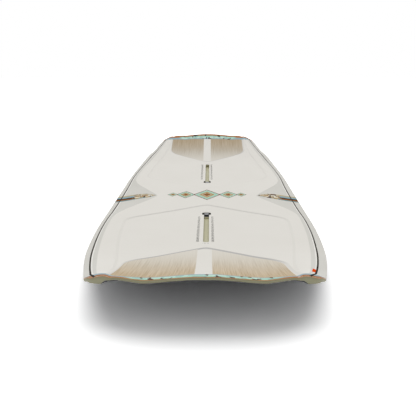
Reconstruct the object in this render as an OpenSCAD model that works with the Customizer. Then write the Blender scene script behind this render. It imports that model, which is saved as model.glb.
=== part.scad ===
// Wakeboard with a stepped deck, contoured tips, T-slot binding tracks and bolt-on fins.
// X runs across the board, Y from tip to tip and Z up. The origin lies under the middle of the flat base.
// Both ends and both sides are alike, so shapes are written with two distances:
// h is the distance from the centreline, a the distance from the middle of the board.

/* [Outline] */
// Overall length, tip to tip
board_length = 1380; // [1280:5:1480]
// Overall width, across the waist
board_width = 430; // [410:1:460]
// Width of a tip, between the ends of its straight tapers
tip_width = 294; // [284:1:320]
// Length of the parallel waist
waist_length = 360; // [180:5:420]
// Length of the straight taper towards each tip
taper_length = 90; // [70:5:170]
// Width of the straight middle of a tip's edge
tip_flat = 93; // [86:1:120]
// Distance from a tip to the ends of its arcs, where they meet the rails
tip_depth = 40; // [32:1:46]
// Rounding of the corners between the arcs and the rails
corner_blend = 14; // [8:1:18]

/* [Rocker and thickness] */
// Rise of the base at the tips
rocker = 76; // [64:1:92]
// Length of the flat middle of the base
flat_length = 220; // [180:10:270]
// Power of the rocker curve
rocker_power = 2.5; // [2.1:0.05:2.8]
// Thickness in the middle
centre_t = 20; // [18:0.5:24]
// Thickness at the outer end of a stance panel
stance_t = 16; // [15:0.5:19]
// Thickness of a tip, above its lowest deck steps
tip_t = 7; // [6.5:0.25:9]
// Power of the thinning from a stance panel to its tip
thinning_power = 0.8; // [0.6:0.05:1.2]
// Height of the rail along the waist
rail_t = 9; // [8:0.5:12]
// Height of the rail at the tip corners
tip_rail_t = 4.4; // [4:0.2:6]

/* [Layers] */
// Thickness of the deck skin
deck_skin_t = 1.2; // [0.8:0.1:1.4]
// Thickness of the base skin
base_skin_t = 1; // [0.8:0.1:1.2]
// Width of the cast sidewall
rail_w = 10; // [8:0.5:14]
// Bond line between bonded pieces
bond_gap = 0.1; // [0.05:0.05:0.2]

/* [Deck relief] */
// Distance from the middle to the apex of the inner step
panel_apex = 84; // [60:2:100]
// Sweep angle of the inner step
panel_sweep = 37; // [30:1:42]
// Distance from the outline to the side of a stance panel
panel_inset = 45; // [38:1:52]
// Depth of a stance panel
panel_step = 1.4; // [0.8:0.1:1.8]
// Distance from a stance panel's flat to the apex of the outer step
tip_panel_gap = 33; // [14:1:40]
// Sweep angle of the outer step
tip_panel_sweep = 42; // [34:1:46]
// Half the width of a tip panel
tip_panel_half = 119; // [104:1:122]
// Depth of a tip panel
tip_step = 1; // [0.6:0.1:1.4]
// Width of the steps' slopes
step_w = 12; // [8:1:16]
// Width of the bevel along the rails
bevel_w = 22; // [18:1:28]
// Distance from the centreline to the apex of the waist bevel
waist_apex = 114; // [90:1:140]
// Angle between the waist bevel's edge and the board's length
waist_flare = 26.5; // [20:0.5:32]

/* [Hull] */
// Half the width of the level centre of a tip
spine_half = 16; // [10:1:22]
// Distance from the centreline to a tip's ridges
ridge_x = 75; // [64:1:82]
// Depth of the ridges
ridge_drop = 4.4; // [2:0.2:6]
// Distance from the centreline to the crest of a channel
channel_x = 122; // [112:1:126]
// Rise of the channels at their crest, in the base
channel_rise = 1.6; // [0.4:0.1:1.8]
// Rise of the deck above the channels
deck_rise = 0.4; // [0.2:0.1:1.2]
// Length of the channels, from the tip
channel_length = 360; // [300:10:400]
// Width of the moulded runners at the corners
runner_w = 50; // [44:1:54]
// Depth of the runners
runner_depth = 5; // [3:0.2:5.8]
// Width of a runner's inner wall
runner_wall = 4; // [3:0.5:6]
// Distance from the centreline to a runner's inner wall, in line with the tip
runner_end = 148; // [136:1:150]
// Length of the runners, from the tip
runner_length = 220; // [180:10:260]
// Length in which the runners rise out of the base
runner_fade = 120; // [90:5:140]
// Rise of the base's edge along the waist
tuck = 4; // [2:0.5:5]

/* [Core] */
// Distance from the centreline to a stringer's middle
stringer_x = 60; // [46:1:66]
// Width of a stringer
stringer_w = 8; // [5:0.5:12]
// Distance from a stringer's end to the tip
stringer_end = 90; // [70:5:140]
// Width of a track block's cheeks, beside its track
block_cheek = 18; // [8:1:20]
// Distance that a track's block reaches past its track
block_margin = 14; // [8:1:20]

/* [Binding tracks] */
// Distance from the middle of the board to the middle of a track's entry
entry_a = 163; // [140:1:180]
// Width of the entry
entry_w = 19; // [18.6:0.1:21]
// Length of the entry
entry_l = 22; // [21:0.5:28]
// Corner radius of the entry
entry_r = 6; // [3:0.5:9]
// Width of the slot
slot_w = 10.4; // [10:0.1:11]
// Length of the slot, from the middle of the entry
slot_reach = 221; // [160:1:260]
// Thickness of the track's side walls, beside its cavity
track_wall = 4.4; // [3.4:0.2:7]
// Thickness of the track's lips
lip_t = 2.6; // [2:0.1:3]
// Height of the T-slot's cavity
cavity_h = 4.6; // [4.2:0.1:5]
// Thickness of the track's floor
floor_t = 1.8; // [1.2:0.1:2.2]
// Thickness of the track's end walls
end_wall = 6; // [4:0.5:8]

/* [Track nuts] */
// Clearance beside the nut in its slot and cavity
nut_side_gap = 0.35; // [0.3:0.05:0.5]
// Clearance above and below the nut's flange
nut_gap = 0.3; // [0.3:0.05:0.4]
// Length of the nut's flange
flange_l = 21.4; // [17:0.2:21.4]
// Length of the nut's boss
boss_l = 13; // [11:0.5:16]
// Distance from the deck down to the top of the boss
boss_sink = 0.6; // [0.4:0.1:1.5]
// Diameter of the steel bush
bush_d = 8.6; // [8:0.1:8.8]
// Diameter of the bush's M6 thread, at its crests
thread_d = 5; // [4:0.1:5.2]
// Clearance round pressed and screwed pieces
press_gap = 0.05; // [0.02:0.01:0.1]

/* [Fins] */
// Distance from a fin's middle to the tip
fin_from_tip = 190; // [180:5:220]
// Distance from the centreline to a fin
fin_x = 98; // [92:1:102]
// Distance from a fin's screws to the ends of its foot
foot_margin = 9; // [8:0.5:16]
// Width of a fin's foot
foot_w = 14; // [13:0.5:18]
// Thickness of a fin's foot
foot_t = 3.6; // [3.4:0.1:5]
// Distance from a fin's screws to the ends of its blade
blade_margin = 13; // [12:0.5:22]
// Height of a fin's blade
blade_h = 20; // [14:1:26]
// Thickness of a fin's blade
blade_t = 6; // [4:0.5:8]
// Distance between a fin's screws
screw_pitch = 114; // [104:1:120]
// Diameter of the fin screws
screw_d = 5.9; // [4.9:0.1:5.9]
// Diameter of a screw's countersunk head
head_d = 10.8; // [9:0.1:11.4]
// Height of a screw's head
head_h = 2.8; // [2.2:0.1:3]
// Outer diameter of a fin's inserts
insert_d = 10; // [9:0.1:11]
// Length of a fin's inserts
insert_l = 5.6; // [4.6:0.1:6]
// Clearance round the fin screws
screw_gap = 0.25; // [0.15:0.05:0.4]

/* [Hidden] */
$fn = 64;

// Colours
deck_colour = "#dedbd4";
khaki = "#9a967c";
track_khaki = "#c0bc9c";
graphite = "#2c2e31";
black_nylon = "#1c1c1e";
steel = "#c4c6c8";
brass = "#b8934a";
foam = "#e9dfbf";
ash_wood = "#c9a877";
dense_foam = "#b9b48e";

// Places along the board
half_l = board_length / 2;
half_w = board_width / 2;
waist_a = waist_length / 2;
taper_a = half_l - taper_length;
corner_a = half_l - tip_depth;
flat_a = flat_length / 2;
stance_start = entry_a - entry_l / 2 - end_wall - 6;
stance_end = entry_a + slot_reach + end_wall + 5;
tip_apex = stance_end + tip_panel_gap;
ridge_a = half_l - channel_length;
runner_a = half_l - runner_length;
fin_a = half_l - fin_from_tip;

// Depths of the track below the deck of its stance panel
track_top = deck_skin_t + bond_gap;
cavity_top = track_top + lip_t;
cavity_floor = cavity_top + cavity_h;
track_bottom = cavity_floor + floor_t;
track_in = entry_l / 2 + end_wall;
track_out = slot_reach + end_wall;
track_w = entry_w + 2 * track_wall;
block_w = track_w + 2 * block_cheek;

// Lengths of a fin's foot and blade
foot_l = screw_pitch + 2 * foot_margin;
blade_l = screw_pitch - 2 * blade_margin;

// Outline

function smooth(t) = t <= 0 ? 0 : t >= 1 ? 1 : t * t * (3 - 2 * t);
function ramp(d, width) = min(1, max(0, d / width + 0.5));
function mix(from, to, t) = from + (to - from) * t;
function soft_min(p, q, k) =
    let (t = min(1, max(0, 0.5 + (q - p) / (2 * k))))
    mix(q, p, t) - k * t * (1 - t);

taper_slope = (half_w - tip_width / 2) / ((taper_a - waist_a) / 2 + taper_length);

// Half width of the board without its tips: parallel waist, arc, straight taper
function side_line(a) = half_w - taper_slope * (
    a <= waist_a ? 0
    : a <= taper_a ? pow(a - waist_a, 2) / (2 * (taper_a - waist_a))
    : (taper_a - waist_a) / 2 + a - taper_a
);

// A tip's edge is straight in the middle and falls back in an arc to each rail
bow_w = side_line(corner_a) - tip_flat / 2;
bow_r = (pow(bow_w, 2) + pow(tip_depth, 2)) / (2 * tip_depth);
bow_turn = asin(bow_w / bow_r);
bow_a = half_l - bow_r;
function half_width(a) = a <= bow_a ? side_line(a)
    : soft_min(side_line(a), tip_flat / 2 + sqrt(max(0, pow(bow_r, 2) - pow(a - bow_a, 2))), corner_blend);

// Heights along the centreline

function hull_line(a) = a <= flat_a ? 0 : rocker * pow((a - flat_a) / (half_l - flat_a), rocker_power);

stance_slope = (hull_line(stance_end) + stance_t - centre_t) / (stance_end - stance_start);
stance_tilt = atan(stance_slope);

// Deck height before its steps: level waist, straight stance panel, then thinning to the tip
function deck_line(a) = a <= stance_start ? centre_t
    : a <= stance_end ? centre_t + stance_slope * (a - stance_start)
    : hull_line(a) + mix(stance_t, tip_t, pow((a - stance_end) / (half_l - stance_end), thinning_power));

// Base

// Cross section of a tip: level spine, ridges and channels
function tip_wave(crest) = [[0, 0], [spine_half, 0], [ridge_x, -ridge_drop], [channel_x, crest]];
function wave(h, a, from, crest) = lookup(h, tip_wave(crest)) * smooth((a - from) / (half_l - from));

// A runner follows the rail, and its inner wall turns out to the corner at the tip
function runner_foot(a) = max(side_line(a) - runner_w, runner_end - (half_l - a));
function runner_rise(a) = smooth((a - runner_a) / runner_fade);
function runner_share(h, a) = ramp(h - runner_foot(a) - runner_wall / 2, runner_wall) * runner_rise(a);

function base_z(h, a) =
    let (
        floor_z = wave(h, a, ridge_a, channel_rise),
        runner_z = wave(channel_x, a, ridge_a, channel_rise) - runner_depth,
        edge = tuck * ramp(h - side_line(a) + rail_w / 2, rail_w) * (1 - runner_rise(a))
    )
    hull_line(a) + mix(floor_z, runner_z, runner_share(h, a)) + edge;

// Deck

function panel_side(a) = max(side_line(a) - panel_inset, tip_panel_half + 3);
function bevel_line(a) = min(side_line(a) - bevel_w, waist_apex + a * tan(waist_flare));

function panel_reach(h, a) =
    min((a - panel_apex) * cos(panel_sweep) - h * sin(panel_sweep), panel_side(a) - h);
function tip_reach(h, a) =
    min((a - tip_apex) * cos(tip_panel_sweep) - h * sin(tip_panel_sweep), tip_panel_half - h);

function step_down(h, a) =
    panel_step * ramp(panel_reach(h, a), step_w) + tip_step * ramp(tip_reach(h, a), step_w);

function edge_z(a) =
    base_z(side_line(a), a) + mix(rail_t, tip_rail_t, smooth((a - waist_a) / (half_l - waist_a)));

function deck_z(h, a) =
    let (
        top = deck_line(a) + wave(h, a, tip_apex, deck_rise) - step_down(h, a),
        share = max(0, h - bevel_line(a)) / (side_line(a) - bevel_line(a))
    )
    mix(top, edge_z(a), share);

// Grid of rows and columns that follow the deck's steps, bevels, ridges and runners

function span(from, to, count) = [for (i = [0 : count - 1]) mix(from, to, i / count)];

panel_half_step = step_w / 2 / cos(panel_sweep);
tip_half_step = step_w / 2 / cos(tip_panel_sweep);
sweep_end = corner_a - 22;

// Places of the rows on the centreline
stations = concat(
    span(0, panel_apex - panel_half_step, 3),
    span(panel_apex - panel_half_step, panel_apex + panel_half_step, 1),
    span(panel_apex + panel_half_step, stance_start, 1),
    span(stance_start, stance_end, 5),
    span(stance_end, tip_apex - tip_half_step, 1),
    span(tip_apex - tip_half_step, tip_apex + tip_half_step, 1),
    span(tip_apex + tip_half_step, sweep_end, 5),
    span(sweep_end, corner_a, 2),
    [for (i = [5 : -1 : 0]) bow_a + bow_r * cos(bow_turn * pow(i / 5, 0.85))]
);
rows = len(stations) - 1;
cols = 9;
min_col = 4;
// Rows to each side in the base's level middle
level_rows = 4;

// Each row sweeps outwards with the steps as far as the panel's side, then runs straight to the rail
row_sweeps = [
    [0, 0],
    [panel_apex - panel_half_step, tan(panel_sweep)],
    [panel_apex + panel_half_step, tan(panel_sweep)],
    [tip_apex - tip_half_step, tan(tip_panel_sweep)],
    [tip_apex + tip_half_step, tan(tip_panel_sweep)],
    [sweep_end, 0]
];
row_turns = [[panel_apex, half_w - panel_inset], [tip_apex, tip_panel_half]];
function row_a(c, h) = c + lookup(c, row_sweeps) * min(h, lookup(c, row_turns));
row_ends = [for (c = stations) row_a(c, board_width)];

function deck_columns(a) =
    let (
        edge = half_width(a),
        rail = edge - rail_w,
        bevel = min(bevel_line(a), rail - min_col),
        outer = min(panel_side(a) + step_w / 2, bevel - min_col),
        inner = min(panel_side(a) - step_w / 2, outer - min_col),
        panel = min(tip_panel_half - step_w, inner - min_col),
        ridge = min(ridge_x, panel - min_col),
        spine = min(spine_half, ridge - min_col)
    )
    [0, spine, (spine + ridge) / 2, ridge, panel, inner, outer, bevel, rail, edge];

function base_columns(a) =
    let (
        edge = half_width(a),
        rail = edge - rail_w,
        crest = min(runner_foot(a) + runner_wall, rail - min_col),
        foot = min(runner_foot(a), crest - min_col),
        ridge = min(ridge_x, foot - 3 * min_col),
        spine = min(spine_half, ridge - min_col)
    )
    [0, spine, (spine + ridge) / 2, ridge, mix(ridge, foot, 1 / 3), mix(ridge, foot, 2 / 3),
        foot, crest, rail, edge];

deck_grid_h = [for (a = row_ends) deck_columns(a)];
base_grid_h = [for (a = row_ends) base_columns(a)];

function deck_point(j, k, lift) =
    let (h = deck_grid_h[abs(j)][abs(k)], a = row_a(stations[abs(j)], h))
    [sign(k) * h, sign(j) * a, deck_z(h, a) + lift];
function base_point(j, k, lift) =
    let (h = base_grid_h[abs(j)][abs(k)], a = row_ends[abs(j)])
    [sign(k) * h, sign(j) * a, base_z(h, a) + lift];
function deck_grid(lift) = [for (j = [-rows : rows], k = [-cols : cols]) deck_point(j, k, lift)];
function base_grid(lift) = [for (j = [-rows : rows], k = [-cols : cols]) base_point(j, k, lift)];

// Windows of grid cells, as first row, last row, first column and last column
whole = [-rows, rows - 1, -cols, cols - 1];
within_rim = [2 - rows, rows - 3, 1 - cols, cols - 2];
base_middle = [-level_rows, level_rows - 1, -cols, cols - 1];
base_tip = [level_rows, rows - 1, -cols, cols - 1];
round_stringer = [2 - rows, rows - 3, 2, 3];
round_block = [0, rows - 3, -2, 1];
round_fin = [floor(rows / 3), rows - 1, 2, 5];
no_window = [0, -1, 0, -1];

function holds(window, j, k) = j >= window[0] && j <= window[1] && k >= window[2] && k <= window[3];
function fills(window, gap, j, k) = holds(window, j, k) && !holds(gap, j, k);

point_count = (2 * rows + 1) * (2 * cols + 1);
function at(j, k) = (j + rows) * (2 * cols + 1) + k + cols;

// Two triangles above and two below for a cell, and walls where its neighbour is left out
function cell_faces(window, gap, j, k) =
    let (
        p = at(j, k),
        q = at(j + 1, k),
        r = at(j + 1, k + 1),
        s = at(j, k + 1),
        top = (j >= 0) == (k >= 0) ? [[p, q, r], [p, r, s]] : [[p, q, s], [q, r, s]],
        sides = [[p, q, j, k - 1], [q, r, j + 1, k], [r, s, j, k + 1], [s, p, j - 1, k]]
    )
    concat(
        top,
        [for (t = top) [t[2] + point_count, t[1] + point_count, t[0] + point_count]],
        [for (e = sides) if (!fills(window, gap, e[2], e[3])) each [
            [e[1], e[0], e[0] + point_count],
            [e[1], e[0] + point_count, e[1] + point_count]
        ]]
    );

// Solid between an upper and a lower grid, in a window of cells and round a gap in it
module layer(upper, lower, window = whole, gap = no_window) {
    polyhedron(
        points = concat(upper, lower),
        faces = [
            for (j = [window[0] : window[1]], k = [window[2] : window[3]])
            if (fills(window, gap, j, k)) each cell_faces(window, gap, j, k)
        ],
        convexity = 8
    );
}

// Frames of the repeated pieces, each written for the tail's right side

module at_tail_stance() {
    translate([0, entry_a, deck_line(entry_a) - panel_step])
        rotate([stance_tilt, 0, 0])
        children();
}

module at_nose() {
    mirror([0, 1, 0]) children();
}

module at_left() {
    mirror([1, 0, 0]) children();
}

// Rise of the base over the fin's frame, at a distance s along its foot
fin_z = base_z(fin_x, fin_a);
fin_tilt = atan(base_z(fin_x, fin_a + 1) - fin_z);
function fin_rise(s) =
    (base_z(fin_x, fin_a + s * cos(fin_tilt)) - fin_z) * cos(fin_tilt)
    - s * cos(fin_tilt) * sin(fin_tilt);

module at_fin() {
    translate([fin_x, fin_a, fin_z])
        rotate([fin_tilt, 0, 0])
        children();
}

module at_screws() {
    for (s = [-screw_pitch / 2, screw_pitch / 2])
        translate([0, s, 0])
            children();
}

// Outlines

module obround(width, from, to) {
    translate([-width / 2, from + width / 2]) square([width, to - from - width]);
    for (y = [from + width / 2, to - width / 2])
        translate([0, y]) circle(d = width);
}

module rounded_rect(width, length, r) {
    square([width, length - 2 * r], center = true);
    square([width - 2 * r, length], center = true);
    for (x = [-1, 1], y = [-1, 1])
        translate([x * (width / 2 - r), y * (length / 2 - r)]) circle(r = r);
}

// Keyhole of a track: entry and slot
module keyhole() {
    rounded_rect(entry_w, entry_l, entry_r);
    obround(slot_w, -slot_w / 2, slot_reach);
}

// Layers of the board

module deck_skin() {
    color(deck_colour)
        difference() {
            layer(deck_grid(0), deck_grid(-deck_skin_t));
            for (side = [0, 1])
                mirror([0, side, 0])
                    at_tail_stance()
                    translate([0, 0, -track_bottom])
                    linear_extrude(2 * track_bottom)
                    keyhole();
        }
}

// The base sheet lies in three lengths: a level middle, and two tips that rise from it
module middle_base_skin() {
    color(graphite) layer(base_grid(base_skin_t), base_grid(0), base_middle);
}

module tip_base_skin() {
    color(graphite)
        difference() {
            layer(base_grid(base_skin_t), base_grid(0), base_tip);
            insert_holes();
        }
}

module sidewall() {
    color(khaki)
        layer(deck_grid(-deck_skin_t - bond_gap), base_grid(base_skin_t + bond_gap), whole, within_rim);
}

// Blank between the skins, which the core, stringers and blocks share
module blank(window) {
    layer(deck_grid(-deck_skin_t - bond_gap), base_grid(base_skin_t + bond_gap), window);
}

module stringer_space(gap) {
    translate([stringer_x - stringer_w / 2 - gap, stringer_end - half_l - gap, -rocker])
        cube([stringer_w + 2 * gap, 2 * (half_l - stringer_end + gap), 3 * rocker]);
}

module block_space(gap) {
    translate([-block_w / 2 - gap, entry_a - track_in - block_margin - gap, -rocker])
        cube([block_w + 2 * gap, track_in + track_out + 2 * (block_margin + gap), 3 * rocker]);
}

module insert_holes() {
    for (x = [0, 1], y = [0, 1])
        mirror([x, 0, 0])
            mirror([0, y, 0])
            at_fin()
            at_screws()
            translate([0, 0, -rocker / 2])
            cylinder(d = insert_d + 2 * bond_gap, h = rocker / 2 + insert_top() + bond_gap);
}

module core() {
    color(foam)
        difference() {
            blank(within_rim);
            for (side = [0, 1]) {
                mirror([side, 0, 0]) stringer_space(bond_gap);
                mirror([0, side, 0]) block_space(bond_gap);
            }
            insert_holes();
        }
}

module stringer() {
    color(ash_wood)
        intersection() {
            blank(round_stringer);
            stringer_space(0);
        }
}

module track_block() {
    color(dense_foam)
        difference() {
            intersection() {
                blank(round_block);
                block_space(0);
            }
            at_tail_stance()
                translate([0, 0, -track_bottom - bond_gap])
                linear_extrude(2 * track_bottom)
                obround(track_w + 2 * bond_gap, -track_in - bond_gap, track_out + bond_gap);
        }
}

// Binding track: a T-slot channel with a wide entry at its inner end
module track() {
    color(track_khaki)
        at_tail_stance()
        difference() {
            translate([0, 0, -track_bottom])
                linear_extrude(track_bottom - track_top)
                obround(track_w, -track_in, track_out);
            translate([-entry_w / 2, -entry_l / 2, -cavity_floor])
                cube([entry_w, entry_l / 2 + slot_reach, cavity_h]);
            translate([0, 0, -cavity_floor + cavity_h / 2])
                linear_extrude(track_bottom)
                keyhole();
        }
}

// Track nut: a nylon carrier with a steel bush, parked in the entry

carrier_w = entry_w - 2 * nut_side_gap;
boss_w = slot_w - 2 * nut_side_gap;
flange_bottom = cavity_floor - nut_gap;
flange_top = cavity_top + nut_gap;

module nut_carrier() {
    color(black_nylon)
        at_tail_stance()
        difference() {
            union() {
                translate([0, 0, -flange_bottom])
                    linear_extrude(flange_bottom - flange_top)
                    rounded_rect(carrier_w, flange_l, entry_r - nut_side_gap);
                translate([0, 0, -flange_bottom])
                    linear_extrude(flange_bottom - boss_sink)
                    rounded_rect(boss_w, boss_l, 3);
            }
            translate([0, 0, -track_bottom])
                cylinder(d = bush_d + 2 * press_gap, h = 2 * track_bottom);
        }
}

module nut_bush() {
    color(steel)
        at_tail_stance()
        translate([0, 0, -flange_bottom])
        difference() {
            cylinder(d = bush_d, h = flange_bottom - boss_sink);
            translate([0, 0, -track_bottom]) cylinder(d = thread_d, h = 3 * track_bottom);
        }
}

// Fins

// Depth of the inserts in the base, clear of the base's slope across them and of the deck skin above
insert_inset = 0.4;
outer_screw_a = fin_a + screw_pitch / 2 + insert_d / 2;
outer_screw_x = min(tip_panel_half - step_w, fin_x + insert_d / 2);
blank_room = deck_z(outer_screw_x, outer_screw_a) - base_z(outer_screw_x, outer_screw_a)
    - deck_skin_t - 2 * bond_gap;
function insert_bottom() = fin_rise(screw_pitch / 2) + insert_inset;
function insert_top() = insert_bottom() + min(insert_l, blank_room - 2 * insert_inset);

// Circle through both ends and the top of a low arc
function arc_r(chord, rise) = (pow(chord / 2, 2) + pow(rise, 2)) / (2 * rise);

// Foil seen from above: two shallow arcs that meet at the ends
module foil() {
    r = arc_r(blade_l, blade_t / 2);
    intersection_for (side = [-1, 1])
        translate([side * (r - blade_t / 2), 0]) circle(r = r, $fn = 360);
}

// Blade seen from the side: one arc below the foot
module blade_profile() {
    r = arc_r(blade_l, blade_h);
    intersection() {
        translate([0, r - blade_h]) circle(r = r);
        translate([-blade_l / 2, -blade_h]) square([blade_l, blade_h]);
    }
}

module fin() {
    seat = 2 * insert_bottom();
    color(black_nylon)
        difference() {
            at_fin() {
                translate([0, 0, -foot_t])
                    linear_extrude(foot_t + seat)
                    obround(foot_w, -foot_l / 2, foot_l / 2);
                intersection() {
                    translate([0, 0, -blade_h]) linear_extrude(blade_h) foil();
                    rotate([90, 0, 90]) linear_extrude(foot_w, center = true) blade_profile();
                }
            }
            layer(base_grid(rocker), base_grid(-bond_gap), round_fin);
            at_fin()
                at_screws()
                translate([0, 0, -foot_t])
                screw_form(screw_gap, foot_t + 2 * seat);
        }
}

// Countersunk screw, head down, grown by a clearance
module screw_form(gap, length) {
    cylinder(d = screw_d + 2 * gap, h = length);
    translate([0, 0, -gap])
        cylinder(d1 = head_d + 2 * gap, d2 = screw_d + 2 * gap, h = head_h + gap);
}

module fin_screws() {
    color(steel)
        at_fin()
        at_screws()
        translate([0, 0, -foot_t])
        screw_form(0, foot_t + insert_top() - 1);
}

module fin_inserts() {
    color(brass)
        at_fin()
        at_screws()
        translate([0, 0, insert_bottom()])
        difference() {
            cylinder(d = insert_d, h = insert_top() - insert_bottom());
            translate([0, 0, -1])
                cylinder(d = screw_d + 2 * press_gap, h = insert_top() - insert_bottom() + 0.4);
        }
}

deck_skin();
at_nose() tip_base_skin();  // nose_base_skin
middle_base_skin();
tip_base_skin();  // tail_base_skin
sidewall();
core();
at_left() stringer();  // left_stringer
stringer();  // right_stringer
at_nose() track_block();  // nose_track_block
track_block();  // tail_track_block
at_nose() track();  // nose_track
track();  // tail_track
at_nose() nut_carrier();  // nose_nut_carrier
nut_carrier();  // tail_nut_carrier
at_nose() nut_bush();  // nose_nut_bush
nut_bush();  // tail_nut_bush
at_nose() at_left() fin();  // nose_left_fin
at_nose() fin();  // nose_right_fin
at_left() fin();  // tail_left_fin
fin();  // tail_right_fin
at_nose() at_left() fin_inserts();  // nose_left_fin_inserts
at_nose() fin_inserts();  // nose_right_fin_inserts
at_left() fin_inserts();  // tail_left_fin_inserts
fin_inserts();  // tail_right_fin_inserts
at_nose() at_left() fin_screws();  // nose_left_fin_screws
at_nose() fin_screws();  // nose_right_fin_screws
at_left() fin_screws();  // tail_left_fin_screws
fin_screws();  // tail_right_fin_screws
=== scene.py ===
"""Looks of a wakeboard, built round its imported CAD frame.

Sizes in the classes are millimetres, and meshes are written in metres. h is the distance from the board's
centreline and a the distance from its middle, because both sides and both ends are alike.
"""

import logging
import math
from collections.abc import Callable, Iterator, Sequence
from contextlib import contextmanager
from dataclasses import dataclass, field
from enum import Enum
from itertools import product

import bmesh
import bpy
import numpy as np
from mathutils import Matrix, Vector


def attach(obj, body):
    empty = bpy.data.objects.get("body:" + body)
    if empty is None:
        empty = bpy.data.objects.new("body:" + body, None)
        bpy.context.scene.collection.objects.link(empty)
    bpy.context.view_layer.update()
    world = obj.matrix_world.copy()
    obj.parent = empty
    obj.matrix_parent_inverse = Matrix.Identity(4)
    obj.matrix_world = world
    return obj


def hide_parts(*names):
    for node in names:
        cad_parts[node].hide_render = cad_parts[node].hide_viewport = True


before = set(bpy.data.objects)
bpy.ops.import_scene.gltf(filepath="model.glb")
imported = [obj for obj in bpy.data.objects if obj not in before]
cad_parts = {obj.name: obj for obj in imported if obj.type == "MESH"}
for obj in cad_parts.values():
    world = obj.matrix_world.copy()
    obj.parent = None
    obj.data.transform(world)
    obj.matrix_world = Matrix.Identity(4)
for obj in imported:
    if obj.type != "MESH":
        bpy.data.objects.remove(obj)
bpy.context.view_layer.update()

MM = 0.001
WELD = 1e-7
CAD_WELD = 2e-6
log = logging.getLogger("wakeboard")

Array = np.ndarray
Colour = tuple[float, float, float]
Socket = bpy.types.NodeSocket


class Named(Enum):
    """A choice whose name is part of the names of nodes and pieces."""

    @property
    def label(self) -> str:
        """The name, as the nodes spell it."""
        return self.name.lower()


class End(Named):
    """The two ends of the board."""

    NOSE = -1
    TAIL = 1


class Side(Named):
    """The two sides of the board."""

    LEFT = -1
    RIGHT = 1


class Body(Enum):
    """The CAD bodies that pieces ride on."""

    BOARD = "board"
    NOSE_NUT = "nose_nut"
    TAIL_NUT = "tail_nut"


# Numbers


def linear(colour: Sequence[float]) -> tuple[float, float, float, float]:
    """Turns an sRGB colour into the linear one that shaders take.

    Args:
        colour: red, green and blue from 0 to 255.

    Returns:
        Linear red, green, blue and an alpha of 1.
    """
    parts = [c / 255 for c in colour]
    return (*[p / 12.92 if p <= 0.04045 else ((p + 0.055) / 1.055) ** 2.4 for p in parts], 1.0)


def smooth(t: Array) -> Array:
    """Smooth step from 0 to 1."""
    t = np.clip(t, 0, 1)
    return t * t * (3 - 2 * t)


def mix(low: Array, high: Array, t: Array) -> Array:
    """Value between low and high at share t."""
    return low + (high - low) * t


def soft_min(p: Array, q: Array, k: float) -> Array:
    """Smaller of two values, with the corner between them rounded over k."""
    t = np.clip(0.5 + (q - p) / (2 * k), 0, 1)
    return mix(q, p, t) - k * t * (1 - t)


def soft_ramp(x: Array, w: float) -> Array:
    """Zero below 0 and x above it, with the bend rounded over w to each side."""
    return np.where(x <= -w, 0, np.where(x >= w, x, (x + w) ** 2 / (4 * w)))


# Form of the board


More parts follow.
